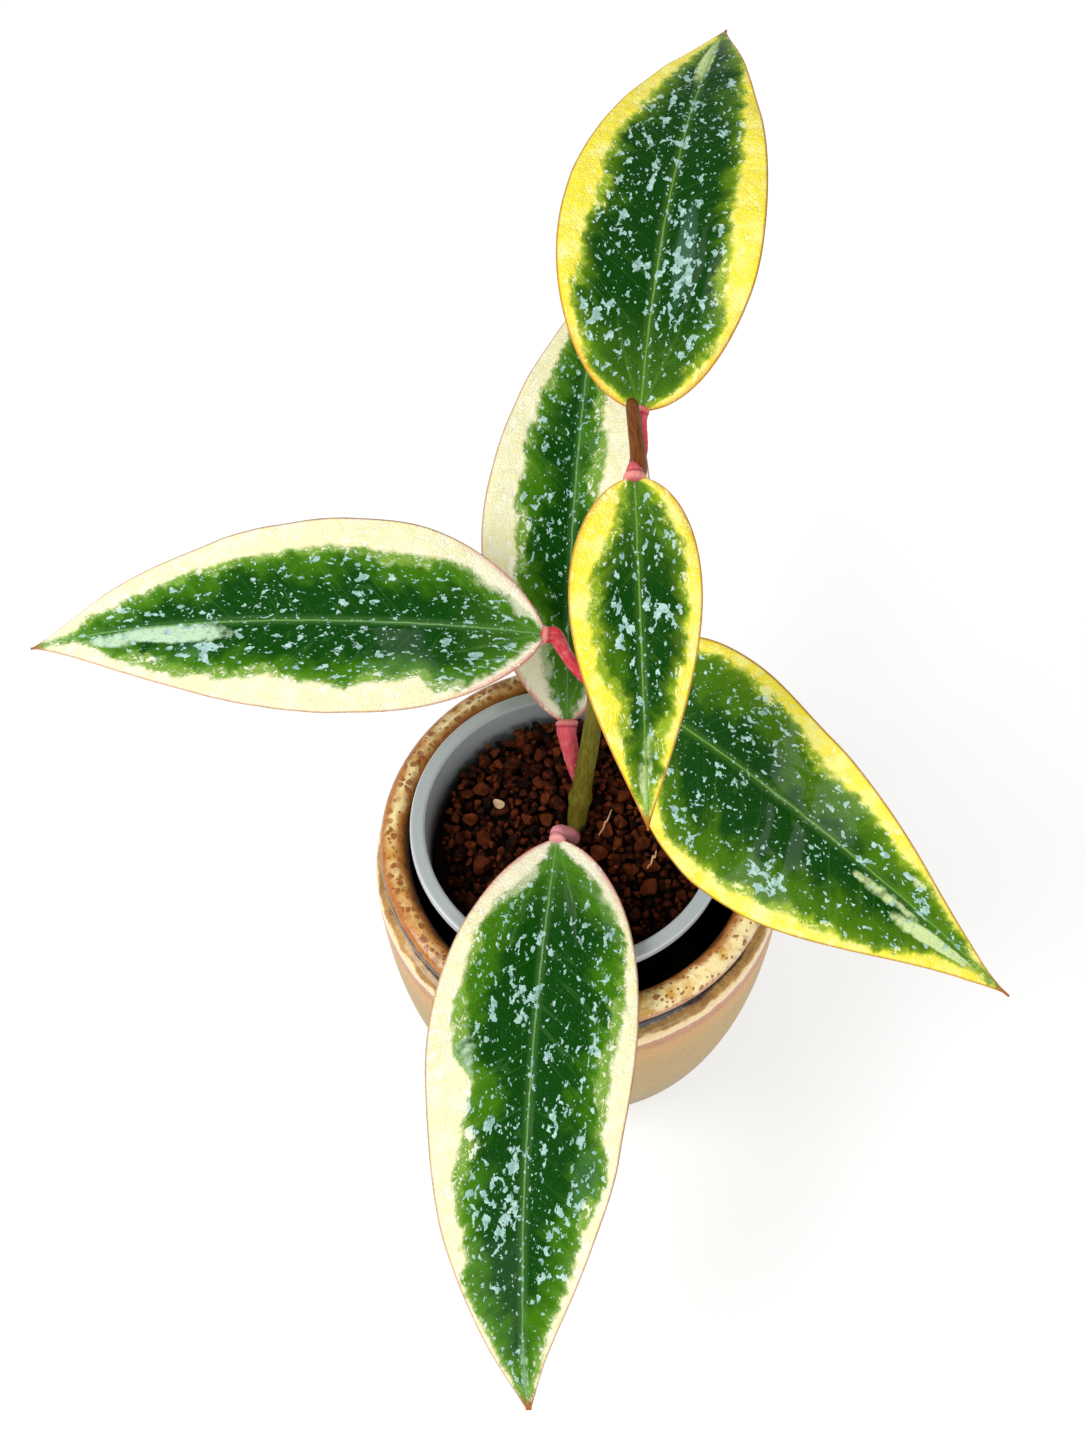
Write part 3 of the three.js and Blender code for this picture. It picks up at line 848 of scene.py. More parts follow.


# %% [markdown]
# ## Leaves: where the green ends
# The green middle of each leaf has its own outline. It is given as how far out the green reaches on
# each side, as a share of the half width, at some places from base (0) to tip (1). The fine teeth
# of that outline come from noise in the finish. A pale patch is a place where the green fades to
# cream by the main nerve, and a silver patch is a place with more silver splashes and a painted soft
# highlight, a silvery sheen over the green: each is (place along, place across, half its length, half
# its width, how strong), with across from -1 to 1. A fresh leaf has more light green: its number is how
# many mm further in the dark green begins.

# %% Leaf markings
GREEN = {
    "lower_front": {
        "left": [(0, 0.1), (0.03, 0.3), (0.06, 0.6), (0.1, 0.8), (0.2, 0.86), (0.3, 0.82),
                 (0.4, 0.74), (0.5, 0.72), (0.6, 0.86), (0.7, 0.72), (0.78, 0.8), (0.85, 0.66),
                 (0.92, 0.55), (0.98, 0.3)],
        "right": [(0, 0.1), (0.04, 0.22), (0.08, 0.42), (0.14, 0.7), (0.2, 0.77), (0.3, 0.74),
                  (0.4, 0.72), (0.44, 0.52), (0.52, 0.6), (0.6, 0.72), (0.7, 0.72), (0.78, 0.86),
                  (0.86, 0.8), (0.98, 0.4)],
    },
    "lower_back": {
        "left": [(0, 0.15), (0.05, 0.35), (0.15, 0.4), (0.2, 0.5), (0.25, 0.58), (0.4, 0.6),
                 (0.6, 0.6), (0.7, 0.58), (0.8, 0.5), (0.9, 0.4), (0.98, 0.2)],
        "right": [(0, 0.2), (0.05, 0.45), (0.2, 0.5), (0.4, 0.27), (0.5, 0.3), (0.6, 0.32),
                  (0.7, 0.4), (0.8, 0.5), (0.9, 0.45), (0.98, 0.2)],
    },
    "middle_left": {
        "left": [(0, 0.1), (0.02, 0.3), (0.05, 0.6), (0.08, 0.78), (0.15, 0.84), (0.19, 0.83),
                 (0.22, 0.62), (0.3, 0.66), (0.35, 0.7), (0.4, 0.66), (0.5, 0.62), (0.6, 0.7),
                 (0.8, 0.74), (0.83, 0.5), (0.87, 0.2), (0.9, 0)],
        "right": [(0, 0.1), (0.03, 0.42), (0.08, 0.55), (0.15, 0.66), (0.3, 0.62), (0.45, 0.68),
                  (0.6, 0.65), (0.7, 0.66), (0.75, 0.5), (0.88, 0.42), (0.91, 0.1), (0.93, 0)],
    },
    "middle_right": {
        "left": [(0, 0.3), (0.1, 0.84), (0.2, 0.82), (0.36, 0.8), (0.42, 0.7), (0.5, 0.62),
                 (0.7, 0.64), (0.84, 0.6), (0.88, 0.35), (0.91, 0.05), (0.94, 0)],
        "right": [(0, 0.2), (0.1, 0.6), (0.2, 0.7), (0.26, 0.84), (0.4, 0.82), (0.6, 0.76),
                  (0.7, 0.84), (0.8, 0.74), (0.84, 0.5), (0.9, 0.2), (0.93, 0)],
    },
    "upper_front": {
        "left": [(0, 0.05), (0.04, 0.35), (0.1, 0.45), (0.15, 0.5), (0.2, 0.66), (0.3, 0.68),
                 (0.5, 0.72), (0.55, 0.7), (0.6, 0.58), (0.75, 0.58), (0.84, 0.58), (0.88, 0.3),
                 (0.93, 0)],
        "right": [(0, 0.05), (0.04, 0.25), (0.1, 0.32), (0.2, 0.5), (0.3, 0.6), (0.55, 0.68),
                  (0.65, 0.48), (0.75, 0.5), (0.9, 0.55), (0.94, 0)],
    },
    "upper_back": {
        "left": [(0, 0.1), (0.03, 0.6), (0.06, 0.8), (0.2, 0.84), (0.24, 0.8), (0.32, 0.68),
                 (0.4, 0.66), (0.5, 0.68), (0.6, 0.66), (0.7, 0.6), (0.85, 0.45), (0.9, 0.25),
                 (0.95, 0)],
        "right": [(0, 0.1), (0.03, 0.6), (0.1, 0.78), (0.18, 0.76), (0.25, 0.68), (0.4, 0.63),
                  (0.6, 0.7), (0.78, 0.74), (0.86, 0.88), (0.92, 0.9), (0.96, 0.5), (0.98, 0)],
    },
}
PALE = {
    "lower_front": [(0.43, -0.66, 0.09, 0.15, 0.55), (0.95, 0, 0.1, 0.25, 0.5)],
    "lower_back": [],
    "middle_left": [(0.7, 0.15, 0.14, 0.17, 1.0), (0.82, 0.3, 0.06, 0.2, 0.8)],
    "middle_right": [(0.84, -0.28, 0.12, 0.17, 1.0), (0.7, -0.12, 0.09, 0.08, 0.7)],
    "upper_front": [(0.8, 0.1, 0.12, 0.25, 0.55), (0.9, -0.1, 0.1, 0.4, 0.8)],
    "upper_back": [(0.86, 0.08, 0.12, 0.22, 0.9)],
}
SILVER_AND_SHEEN = {
    "lower_front": [(0.6, 0.68, 0.08, 0.2, 1), (0.62, -0.4, 0.1, 0.3, 0.7),
                    (0.27, -0.2, 0.1, 0.15, 0.5), (0.68, 0.35, 0.05, 0.25, 0.6),
                    (0.25, 0.65, 0.12, 0.15, 0.6)],
    "lower_back": [(0.37, 0.25, 0.08, 0.25, 0.5), (0.6, 0.4, 0.1, 0.3, 0.4)],
    "middle_left": [(0.64, 0.4, 0.05, 0.15, 1), (0.42, 0.12, 0.05, 0.1, 0.7),
                    (0.1, 0.5, 0.07, 0.25, 0.6), (0.25, -0.4, 0.12, 0.2, 0.4)],
    "middle_right": [(0.7, 0.35, 0.1, 0.3, 0.7), (0.3, 0.7, 0.1, 0.15, 0.6),
                     (0.5, -0.65, 0.06, 0.15, 0.6)],
    "upper_front": [(0.4, 0.35, 0.08, 0.3, 0.5), (0.48, -0.35, 0.12, 0.25, 0.6),
                    (0.25, 0.55, 0.08, 0.15, 0.5)],
    "upper_back": [(0.3, -0.25, 0.15, 0.13, 1.2), (0.14, 0.6, 0.06, 0.2, 0.6),
                   (0.16, -0.6, 0.1, 0.15, 0.7), (0.4, 0.5, 0.1, 0.25, 0.6),
                   (0.65, 0.2, 0.15, 0.4, 0.6)],
}
FRESHNESS = {
    "lower_front": 1, "lower_back": 0, "middle_left": 0, "middle_right": 4, "upper_front": -2,
    "upper_back": -3,
}
print("markings for", len(GREEN), "leaves")

# %% [markdown]
# The blade's own frame at each place along the leaf is: ahead (the way the nerve runs), left (across
# the blade) and up (out of its upper face). One function gives these and the point on the nerve.

# %% Leaf frame and width
NERVE_STEPS = 400


def between(pair, t):
    """From the first number of a pair, at t = 0, to the second, at t = 1."""
    return pair[0] + (pair[1] - pair[0]) * t


def leaf_directions(leaf, t):
    """The way ahead along the nerve, and the level way to its left."""
    heading = np.radians(between(leaf["heading"], t))
    rise = np.radians(between(leaf["elevation"], t))
    ahead = np.stack([np.cos(rise) * np.cos(heading), np.cos(rise) * np.sin(heading), np.sin(rise)], 1)
    return ahead, np.stack([-np.sin(heading), np.cos(heading), 0 * heading], 1)


def leaf_frame(leaf, t):
    """The nerve's points and the directions ahead, left and up at places t from 0 to 1."""
    fine = np.linspace(0, 1, NERVE_STEPS + 1)
    steps = leaf_directions(leaf, fine)[0]
    nerve = np.cumsum((steps[1:] + steps[:-1]) / 2 * leaf["length"] / NERVE_STEPS, axis=0)
    nerve = np.vstack([[0, 0, 0], nerve]) + np.array(leaf["base"])
    ahead, level = leaf_directions(leaf, t)
    roll = np.radians(between(leaf["roll"], t))[:, None]
    left = np.cos(roll) * level + np.sin(roll) * np.cross(ahead, level)
    centre = np.stack([np.interp(t, fine, nerve[:, k]) for k in range(3)], 1)
    return centre, ahead, left, np.cross(ahead, left)


def leaf_half_width(leaf, side, t):
    """How far the smooth outline stands from the nerve, on side 0 (left) or 1 (right)."""
    bulge = np.maximum(np.sin(np.pi * t ** leaf["peak"][side]), 0)
    width = leaf["half_width"][side] * bulge ** between(leaf["taper"], t)
    return np.maximum(width, 1.3 - 1.0 * t)


def patches(spots, t, s):
    """Soft-edged ovals on the blade, the strongest one counting at each point."""
    total = np.zeros_like(t + s)
    for at_t, at_s, long, wide, strength in spots:
        gap = ((t - at_t) / long) ** 2 + ((s - at_s) / wide) ** 2
        total = np.maximum(total, strength * np.clip(1.35 - gap, 0, 1))
    return total


# %% [markdown]
# The blade is a skin over rings, one for each place along the leaf. A ring goes across the upper face
# from the left margin to the right, and back across the lower face. The points keep what the finish
# needs: their place on the leaf in mm, how deep they are in the green, how far from the margin and
# from a side nerve, whether they are underneath, and how near they are to the tip and the base.

# %% Leaf blade
# Half the width and the height of the grooves and the keel, and how far the blade waves, in mm
MAIN_GROOVE, SIDE_GROOVE, KEEL = (0.8, 0.32), (0.7, 0.16), (1.3, 1.1)
MARGIN_WAVE, BLADE_WAVE = 1.5, 0.45
# How far out the side nerves run at most, as a share of the half width
SIDE_NERVE_OUT = 0.46


def ridge(distance, half_width, height):
    """The full height at distance 0, falling off on both sides."""
    return np.exp(-(distance / half_width) ** 2) * height


def blade_waves(along, across, spot):
    """Noise at spot(mm along, share across) for every point of the blade."""
    return np.array([[noise.noise(Vector(spot(a, b))) for b in across] for a in along])


def blade_lift(leaf, t, s, width, under, seed):
    """How far each point stands above the plane of the nerve, and its distance from a side nerve."""
    along, across = t[:, 0] * leaf["length"], s * width
    wave = blade_waves(along, s[0], lambda a, b: (math.copysign(3, b) + seed, a * 0.045, 0.0))
    fine_wave = blade_waves(along, s[0], lambda a, b: (b * 2 + seed, a * 0.11, 5.0))
    ends = np.sin(np.pi * np.clip(t, 0, 1)) ** 0.5
    rise = width * (leaf["fold"] * np.abs(s) - 0.025 * s**2)
    rise = rise + ends * (np.abs(s) ** 2.5 * MARGIN_WAVE * wave + np.abs(s) * BLADE_WAVE * fine_wave)
    thick = BLADE * (1 - 0.4 * t) * np.sqrt(1 - s**6) * 0.5
    groove = ridge(across, *MAIN_GROOVE) * (1 - 0.6 * t)
    keel = ridge(across, *KEEL) * (1 - 0.85 * t) ** 1.2
    side_at = SIDE_NERVE_OUT * np.sin(np.pi * np.clip(t, 0.001, 1) ** 0.7) ** 0.8 * width
    side_nerve = np.abs(np.abs(across) - side_at)
    fades = np.clip(1.15 - 1.3 * t, 0, 1)
    side_groove = ridge(side_nerve, *SIDE_GROOVE) * fades
    lift = np.where(under > 0, rise - thick - keel - side_groove, rise + thick - groove - side_groove)
    return np.where(np.abs(s) > 0.999, rise, lift), side_nerve + (1 - fades) * 3


def make_blade(name, finish, seed):
    """One leaf blade, with the values at its points that the leaf finishes read."""
    leaf, trim = LEAVES[name], MARGINS[name]
    t = (1 - np.cos(np.linspace(0, np.pi, ALONG))) / 2
    t = 0.65 * t + 0.35 * np.linspace(0, 1, ALONG)
    upper = np.sin(np.linspace(np.pi / 2, -np.pi / 2, ACROSS + 1))
    upper = 0.5 * upper + 0.5 * np.linspace(1, -1, ACROSS + 1)
    s = np.concatenate([upper, upper[-2:0:-1]])[None, :]
    under = np.concatenate([np.zeros(ACROSS + 1), np.ones(ACROSS - 1)])[None, :]
    centre, ahead, left, up = leaf_frame(leaf, t)
    centre = centre + left * eased(trim["drift"], t)[:, None]
    widths, reaches = [], []
    for k, side in enumerate(("left", "right")):
        margin = leaf_half_width(leaf, k, t) + eased(trim[side], t)
        widths.append(np.maximum(margin, 0.3)[:, None])
        reaches.append(np.interp(t, *zip(*GREEN[name][side]))[:, None])
    width, reach = np.where(s > 0, *widths), np.where(s > 0, *reaches)
    t = t[:, None]
    along = t * leaf["length"] + 0 * s
    lift, side_nerve = blade_lift(leaf, t, s, width, under, seed)
    points = centre[:, None] + left[:, None] * (s * width)[..., None] + up[:, None] * lift[..., None]
    values = {
        "place": np.stack([s * width, along, 0 * along + seed * 37.0], -1).reshape(-1, 3),
        "green_depth": ((reach - np.abs(s)) * width).ravel(),
        "edge_depth": ((1 - np.abs(s)) * width).ravel(),
        "side_nerve": side_nerve.ravel(),
        "underside": (under + 0 * t).ravel(),
        "to_tip": (leaf["length"] - along).ravel(),
        "freshness": np.full(along.size, FRESHNESS[name]),
        "pale": patches(PALE[name], t, s).ravel(),
        # More silver splashes, and a painted silvery highlight over the green
        "silver": patches(SILVER_AND_SHEEN[name], t, s).ravel(),
    }
    faces = [face[::-1] for face in skin_faces(ALONG, s.shape[1])]
    return make_piece("leaf_blade_" + name, points.reshape(-1, 3), faces, finish,
                      ["leaf_" + name], values)


# %% [markdown]
# ## Shared effect: leaf colours
# The margin of a variegated leaf has no green pigment, and where its tissue overlaps the green middle
# there is a lime zone. The outline between them follows the side veins, which run outwards and
# towards the tip. So a noise is taken in vein coordinates: mm along, less a part of the mm across.
# Another frays the outline finely, and low noises make bays in it and widen the lime zone. Inside it
# the leaf is light green at first and dark green in the middle, with clouds of both.

# %% Leaf colours
def vein_place(place):
    """Places as the side veins run: a lane on each side, and mm along less a part of the mm across."""
    across, along, seed = split(place)
    out = abs(across)
    return join(out * 0.2 + maths("SIGN", across) * 40.0, out * -0.8 + along, seed)


def build_leaf_colours():
    inputs = {"Place": (0, 0, 0), "Green Depth": 0.0, "Pale": 0.0, "Freshness": 0.0, "Lime Width": 3.0}
    for label in ("Margin", "Margin Light", "Lime", "Green", "Deep", "Faded"):
        inputs[label] = colour(0, 0, 0)
    group, given, result = new_effect("leaf_colours", inputs, ["Colour", "Green Mask"])
    place = given["Place"]
    veins = vein_place(place)
    teeth = swing(veins, 0.22, 2, 0.5)
    frays = swing(place, 0.5, 1.5, 0.5)
    bays = swing(place, 0.075, 2, 0.5)
    depth = teeth * 3.6 + frays * 1.8 + given["Green Depth"] + bays * 4.0 + 1.2

    # From the margin inwards: margin, lime, light green, dark green
    margin = mix(mask(cloud(place, 0.16), 0.42, 0.68), given["Margin"], given["Margin Light"])
    outer = mix(mask(depth, -0.9, 0.9), margin, given["Lime"])
    lime_zone = mask(cloud(place, 0.06, 2), 0.46, 0.66) * given["Lime Width"]
    green_edge = mask(depth - lime_zone + frays * 2.0, -0.4, 2.0)
    tone = cloud(place, 0.085, 3, 0.6) * 0.65 + cloud(veins, 0.13, 3, 0.55) * 0.35
    tone = (tone - 0.5) * 32.0 + depth - given["Freshness"]
    middle = layers(
        given["Green"],
        (mask(tone, 1.5, 10.0), given["Deep"]),
        (mask(teeth * 5.0 + depth, 4.5, 0.5, 0, 0.28), given["Lime"]),
        (mask(frays * 0.9 + given["Pale"], 0.3, 0.9), given["Faded"]),
    )
    wire(mix(green_edge, outer, middle), result["Colour"])
    wire(green_edge, result["Green Mask"])
    return group


LEAF_COLOURS = build_leaf_colours()

# %% [markdown]
# ## Shared effect: silver splash
# The silver marks are places where air lies under the leaf's skin. There are two kinds: ragged
# splashes of 2 to 8 mm, drawn out along the leaf and often with holes in them, and dots of well under
# a millimetre. A noise cut off at a high value makes ragged islands, and taking a finer noise away
# gives them holes. The dots are Voronoi cells that only hold a dot where the cell's own chance
# number is high. In the pale margin fine whitish ripple marks are painted glints on the waxy skin,
# partly the same air.

# %% Silver splash
# Each size of dot: scale of its cells, share of cells without one, and radius as a share of a cell
DOTS = [(0.4, 0.6, 0.26), (0.7, 0.45, 0.28), (1.2, 0.45, 0.3)]


def build_splash():
    inputs = {"Place": (0, 0, 0), "Amount": 0.0}
    outputs = ["Splash", "Dots", "Glint Ripples", "Brightness"]
    group, given, result = new_effect("silver_splash", inputs, outputs)
    place = given["Place"]
    drawn = stretch(shake(place, 0.5, 2.0), (1, 0.55, 1))
    richer = cloud(place, 0.07, 2, 0.5) * 0.3 + given["Amount"] * 0.12
    holes = mask(cloud(drawn, 1.15, 2, 0.5, 0.3), 0.5, 0.64)
    islands = cloud(drawn, 0.45, 1.5, 0.5, 0.4) + richer + holes * -0.09
    wire(mask(islands, 0.785, 0.801), result["Splash"])
    dots = []
    for scale, empty, reach in DOTS:
        cells = put("TexVoronoi", {"Vector": drawn, "Scale": scale})
        chance = put("SeparateColor", {0: cells["Color"]})[0]
        radius = mask(chance, empty, 1.0, 0.06, 1.0) * reach
        inside = mask(radius - cells["Distance"], -0.02, 0.04)
        dots.append(inside * maths("GREATER_THAN", chance, empty))
    wire(maths("MAXIMUM", maths("MAXIMUM", dots[0], dots[1]), dots[2]), result["Dots"])
    # Whitish ripple marks for the margin: painted glints on the waxy skin
    rippled = cloud(stretch(place, (1, 0.6, 1)), 0.36, 2, 0.5, 0.8)
    wire(mask(abs(rippled - 0.52), 0.022, 0.004), result["Glint Ripples"])
    wire(cloud(place, 0.5, 3, 0.6), result["Brightness"])
    return group


SPLASH = build_splash()

# %% [markdown]
# ## Shared effect: leaf veins
# The main nerve is a fine pale line, and the side nerves show as fainter ones in the green. Between
# them the skin has a fine net of veinlets and soft puckers, which break up the glints on the wax.

# %% Leaf veins
def build_veins():
    inputs = {"Place": (0, 0, 0), "Side Nerve": 9.0}
    group, given, result = new_effect("leaf_veins", inputs, ["Line", "Side Lines", "Relief"])
    place = given["Place"]
    off = abs(swing(place, 0.2, 2) * 0.5 + split(place)[0])
    main = maths("MAXIMUM", mask(off, 0.5, 0.12), mask(off, 2.0, 0.2, 0, 0.25))
    shown = maths("MAXIMUM", main, mask(given["Side Nerve"], 0.7, 0.15, 0, 0.3))
    forked = swing(vein_place(place), 0.17, 1, 0.4)
    net = put("TexVoronoi", {"Vector": place, "Scale": 0.9}, feature="DISTANCE_TO_EDGE")[0]
    relief = mask(net, 0.0, 0.25) * 0.1 + cloud(place, 0.16, 2, 0.5)
    wire(shown, result["Line"])
    wire(mask(abs(forked), 0.02, 0, 0, 0.14), result["Side Lines"])
    wire(shown * -0.3 + relief, result["Relief"])
    return group


VEINS = build_veins()

# %% [markdown]
# ## Leaf finishes
# Two kinds of leaf grow on this vine: the older ones have cream margins, whiter near the base and
# with a fine pink edge there, and the younger ones bright yellow margins with a thin orange edge. Both
# finishes use the same effects with their own colours. The underside is a dull, paler green without
# dots. A leaf is waxy, so a thin clear coat lies over a fairly smooth base.

# %% Leaf finishes
def build_leaf_finish(name, shades):
    material, tree, shader = new_finish(name, Coat_Weight=0.1, Coat_Roughness=0.06, IOR=1.45,
                                        Specular_IOR_Level=0.05)
    place, edge = stored(tree, "place", AS_VECTOR), stored(tree, "edge_depth")
    pigments = use_effect(LEAF_COLOURS, {
        "Place": place, "Green Depth": stored(tree, "green_depth"), "Pale": stored(tree, "pale"),
        "Freshness": stored(tree, "freshness"), **shades["pigments"],
    })
    silver_and_sheen = stored(tree, "silver")
    splash = use_effect(SPLASH, {"Place": place, "Amount": silver_and_sheen})
    veins = use_effect(VEINS, {"Place": place, "Side Nerve": stored(tree, "side_nerve")})
    green = pigments["Green Mask"]
    bare = maths("SUBTRACT", 1.0, green)

    # Near the base the green is lighter and the margin whiter, with a flush along its edge
    along = split(place)[1]
    flush = mask(along, 34, 3) * mask(edge, 2.6, 0.2) * bare
    skin = layers(
        pigments["Colour"],
        (mask(along, 30, 2, 0, 0.45) * green, shades["base_green"]),
        (mask(along, 32, 8, 0, shades["base_white"]) * bare, colour(0.95, 0.88, 0.79)),
        (flush * shades["flush_amount"], shades["flush"]),
    )

    # Nerves, then a painted soft highlight (a silvery sheen) where the silver patches are strong, then
    # splashes and dots, with a whitish glint colour in the margin, and ripple marks there, painted glints
    nerves = maths("MAXIMUM", veins["Line"], veins["Side Lines"] * green)
    bright = mask(splash["Brightness"], 0.36, 0.66)
    silver = mix(bright, colour(0.24, 0.42, 0.37), colour(0.47, 0.67, 0.62))
    marked = maths("MAXIMUM", splash["Splash"], splash["Dots"] * 0.9)
    # Ripple marks in the margin, painted glints
    glint_ripples = splash["Glint Ripples"] * bare * 0.5
    skin = layers(
        skin,
        (nerves * 0.75, shades["nerve"]),
        # Painted soft highlight, a silvery sheen on the green where the silver patches are strong
        (mask(silver_and_sheen, 0.6, 1.5, 0, 0.3) * green, colour(0.12, 0.28, 0.19)),
        # Splashes and dots; in the margin they take the whitish glint colour, a painted glint over the
        # silver
        (marked * mask(green, 0, 1, 0.65, 0.92), mix(green, shades["glint"], silver)),
        (glint_ripples, shades["glint"]),
    )

    # The edge, the tip and the underside
    under = stored(tree, "underside")
    dull = layers(
        pigments["Colour"],
        (0.5, colour(0.25, 0.34, 0.15)),
        (veins["Line"] * 0.5, colour(0.5, 0.5, 0.3)),
    )
    skin = layers(
        skin,
        (mask(edge, 0.75, 0.2) * shades["rim_amount"], shades["rim"]),
        (mask(edge * 0.8 + stored(tree, "to_tip"), 7, 1, 0, 0.8), shades["tip"]),
        (mask(under, 0.3, 0.7), dull),
    )
    height = maths("MAXIMUM", marked, glint_ripples) * 0.12 + veins["Relief"]
    dress(shader, skin, marked * 0.12 + (under * 0.2 + 0.3), height, 0.001)
    return material


CREAM_SHADES = {
    "pigments": {
        "Lime Width": 3.0, "Margin": colour(0.86, 0.81, 0.47), "Margin Light": colour(0.88, 0.85, 0.60),
        "Lime": colour(0.18, 0.34, 0.04), "Green": colour(0.042, 0.160, 0.001),
        "Deep": colour(0.002, 0.050, 0.0005), "Faded": colour(0.48, 0.66, 0.45),
    },
    "base_green": colour(0.10, 0.25, 0.02), "base_white": 0.45,
    "nerve": colour(0.17, 0.38, 0.10), "glint": colour(1.0, 0.98, 0.82),
    "flush": colour(0.70, 0.17, 0.19), "flush_amount": 0.85,
    "rim": colour(0.52, 0.20, 0.12), "rim_amount": 0.7, "tip": colour(0.42, 0.1, 0.03),
}
YELLOW_SHADES = {
    "pigments": {
        "Lime Width": 2.0, "Margin": colour(0.84, 0.73, 0.055), "Margin Light": colour(0.88, 0.82, 0.22),
        "Lime": colour(0.24, 0.37, 0.015), "Green": colour(0.048, 0.138, 0.0005),
        "Deep": colour(0.002, 0.045, 0.0003), "Faded": colour(0.54, 0.66, 0.30),
    },
    "base_green": colour(0.08, 0.20, 0.01), "base_white": 0.0,
    "nerve": colour(0.16, 0.34, 0.05), "glint": colour(0.93, 0.9, 0.36),
    "flush": colour(0.55, 0.22, 0.02), "flush_amount": 0.6,
    "rim": colour(0.5, 0.17, 0.01), "rim_amount": 0.8, "tip": colour(0.42, 0.1, 0.02),
}
CREAM_LEAF = build_leaf_finish("leaf_cream_margin", CREAM_SHADES)
YELLOW_LEAF = build_leaf_finish("leaf_yellow_margin", YELLOW_SHADES)
for seed, (leaf_name, leaf) in enumerate(LEAVES.items()):
    finish, slot = (CREAM_LEAF, "leaf_cream") if leaf["cream"] else (YELLOW_LEAF, "leaf_yellow")
    make_blade(leaf_name, finish, seed + 1.0)

# %% [markdown]
# ## Leaf stalks
# Each leaf stands on a short fleshy stalk, a pink or crimson one that is wrinkled across and swollen
# where it meets the leaf. The stalks follow the frame's routes, and end in a blunt collar that
# stands up a little over the base of the blade, with a dark crease behind it. A stalk's end is its
# radius at the joint, and swell tells how thick it is 3 mm and 1.2 mm before that, as shares of it.

# %% Leaf stalks
STALKS = {
    "lower_front": {
        "end": 2.3, "red": (0.74, 0.27, 0.30),
        "route": [(-1.5, 10.7, 86, 1.6), (-2.2, 5.6, 92, 1.9), (-3.6, 1.6, 103, 2.1)],
    },
    "lower_back": {
        "end": 3.0, "red": (0.70, 0.085, 0.12),
        "route": [(0.4, 13.4, 101, 0.9), (-0.6, 15.8, 107, 1.5), (-2, 18.8, 112.5, 2.2)],
    },
    "middle_left": {
        "end": 2.3, "red": (0.56, 0.03, 0.05),
        "route": [(4.2, 20.3, 155, 1.8), (-2.6, 25, 161, 1.7)],
    },
    "middle_right": {
        "end": 2.0, "red": (0.4, 0.05, 0.05),
        "route": [(4.2, 20.3, 155, 1.7), (9.5, 18.6, 156, 1.7)],
    },
    "upper_front": {
        "end": 2.7, "red": (0.62, 0.10, 0.12), "swell": (0.55, 0.9),
        "route": [(13.1, 31.0, 249.8, 0.8)],
    },
    "upper_back": {
        "end": 2.0, "red": (0.68, 0.035, 0.06),
        "route": [(13.7, 30.4, 247.6, 0.4), (14.3, 33.4, 252.8, 1.0)],
    },
}


def build_stalk_finish():
    material, tree, shader = new_finish("stalk_skin", Coat_Weight=0.15, Coat_Roughness=0.2, IOR=1.4,
                                        Specular_IOR_Level=0.2)
    place, red = stored(tree, "place", AS_VECTOR), stored(tree, "red", AS_VECTOR)
    joint = stored(tree, "past_joint")
    bark = use_effect(BARK, {"Place": place, "Seed": 11.0})
    collar = mask(joint, -0.9, -0.2) * mask(joint, 1.2, 0.6)
    skin = layers(
        red,
        (mask(bark["Blotches"], 0.42, 0.72), mix(0.3, red, colour(0.85, 0.4, 0.36))),
        (mask(bark["Streaks"], 0.5, 0.3, 0, 0.55), mix(0.6, red, colour(0.16, 0.02, 0.012))),
        (mask(split(place)[2], 0.16, 0.0, 0, 0.5), colour(0.2, 0.1, 0.02)),
        (collar * 0.5, colour(0.8, 0.36, 0.3)),
        (mask(abs(joint + 1.2), 0.35, 0.05, 0, 0.6), colour(0.2, 0.015, 0.015)),
    )
    dress(shader, skin, mask(bark["Streaks"], 0.3, 0.7, 0.3, 0.48), bark["Relief"], 0.0007)
    return material


STALK_FINISH = build_stalk_finish()
STALK_AROUND = 32
SWELL = (0.9, 0.98)


def make_stalk(name, seed):
    stalk, leaf = STALKS[name], LEAVES[name]
    ahead = leaf_frame(leaf, np.array([0.0]))[1][0]
    base = np.array(leaf["base"], float)
    behind, near = stalk.get("swell", SWELL)
    shares = [(-3.0, behind), (-1.2, near), (0.0, 1.04), (0.7, 0.86), (1.15, 0.4), (1.25, 0.05)]
    collar = [(*(base + ahead * step), stalk["end"] * share) for step, share in shares]

    def fleshy(angle, along, where):
        wrinkle = [noise.noise(Vector((math.cos(a), math.sin(a), along * 0.9 + seed))) for a in angle]
        past = (where - base) @ ahead
        crease = 0.07 * math.exp(-((past + 1.2) / 0.3) ** 2)
        return 1 + 0.08 * np.array(wrinkle) + 0.015 * math.sin(along * 2.6) - crease

    points, place, rows = rings_along(stalk["route"] + collar, STALK_AROUND, 12, fleshy)
    reds = np.broadcast_to(np.array(stalk["red"]), points.shape)
    values = {"place": place, "red": reds, "past_joint": (points - base) @ ahead}
    return make_piece("stalk_" + name, points, skin_faces(rows, STALK_AROUND), STALK_FINISH,
                      ["petiole_" + name], values)


for seed, stalk_name in enumerate(STALKS):
    make_stalk(stalk_name, seed * 5.0)

# %% [markdown]
# ## Growing medium
# The pot is filled with burnt clay granules of 1.5 to 5.5 mm. They are heaped up towards the back, nearly
# to the rim, and lie lower and a few millimetres off the wall at the left, as they do when a pot has
# been knocked askew. A flat disc with a granule texture would look wrong from the side, so real
# granules are dropped one by one: each tries a few places in the pot, and takes the one that lies
# deepest under the heap's surface. The frame's own 25 granules are placed first, exactly where the
# frame has them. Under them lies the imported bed.

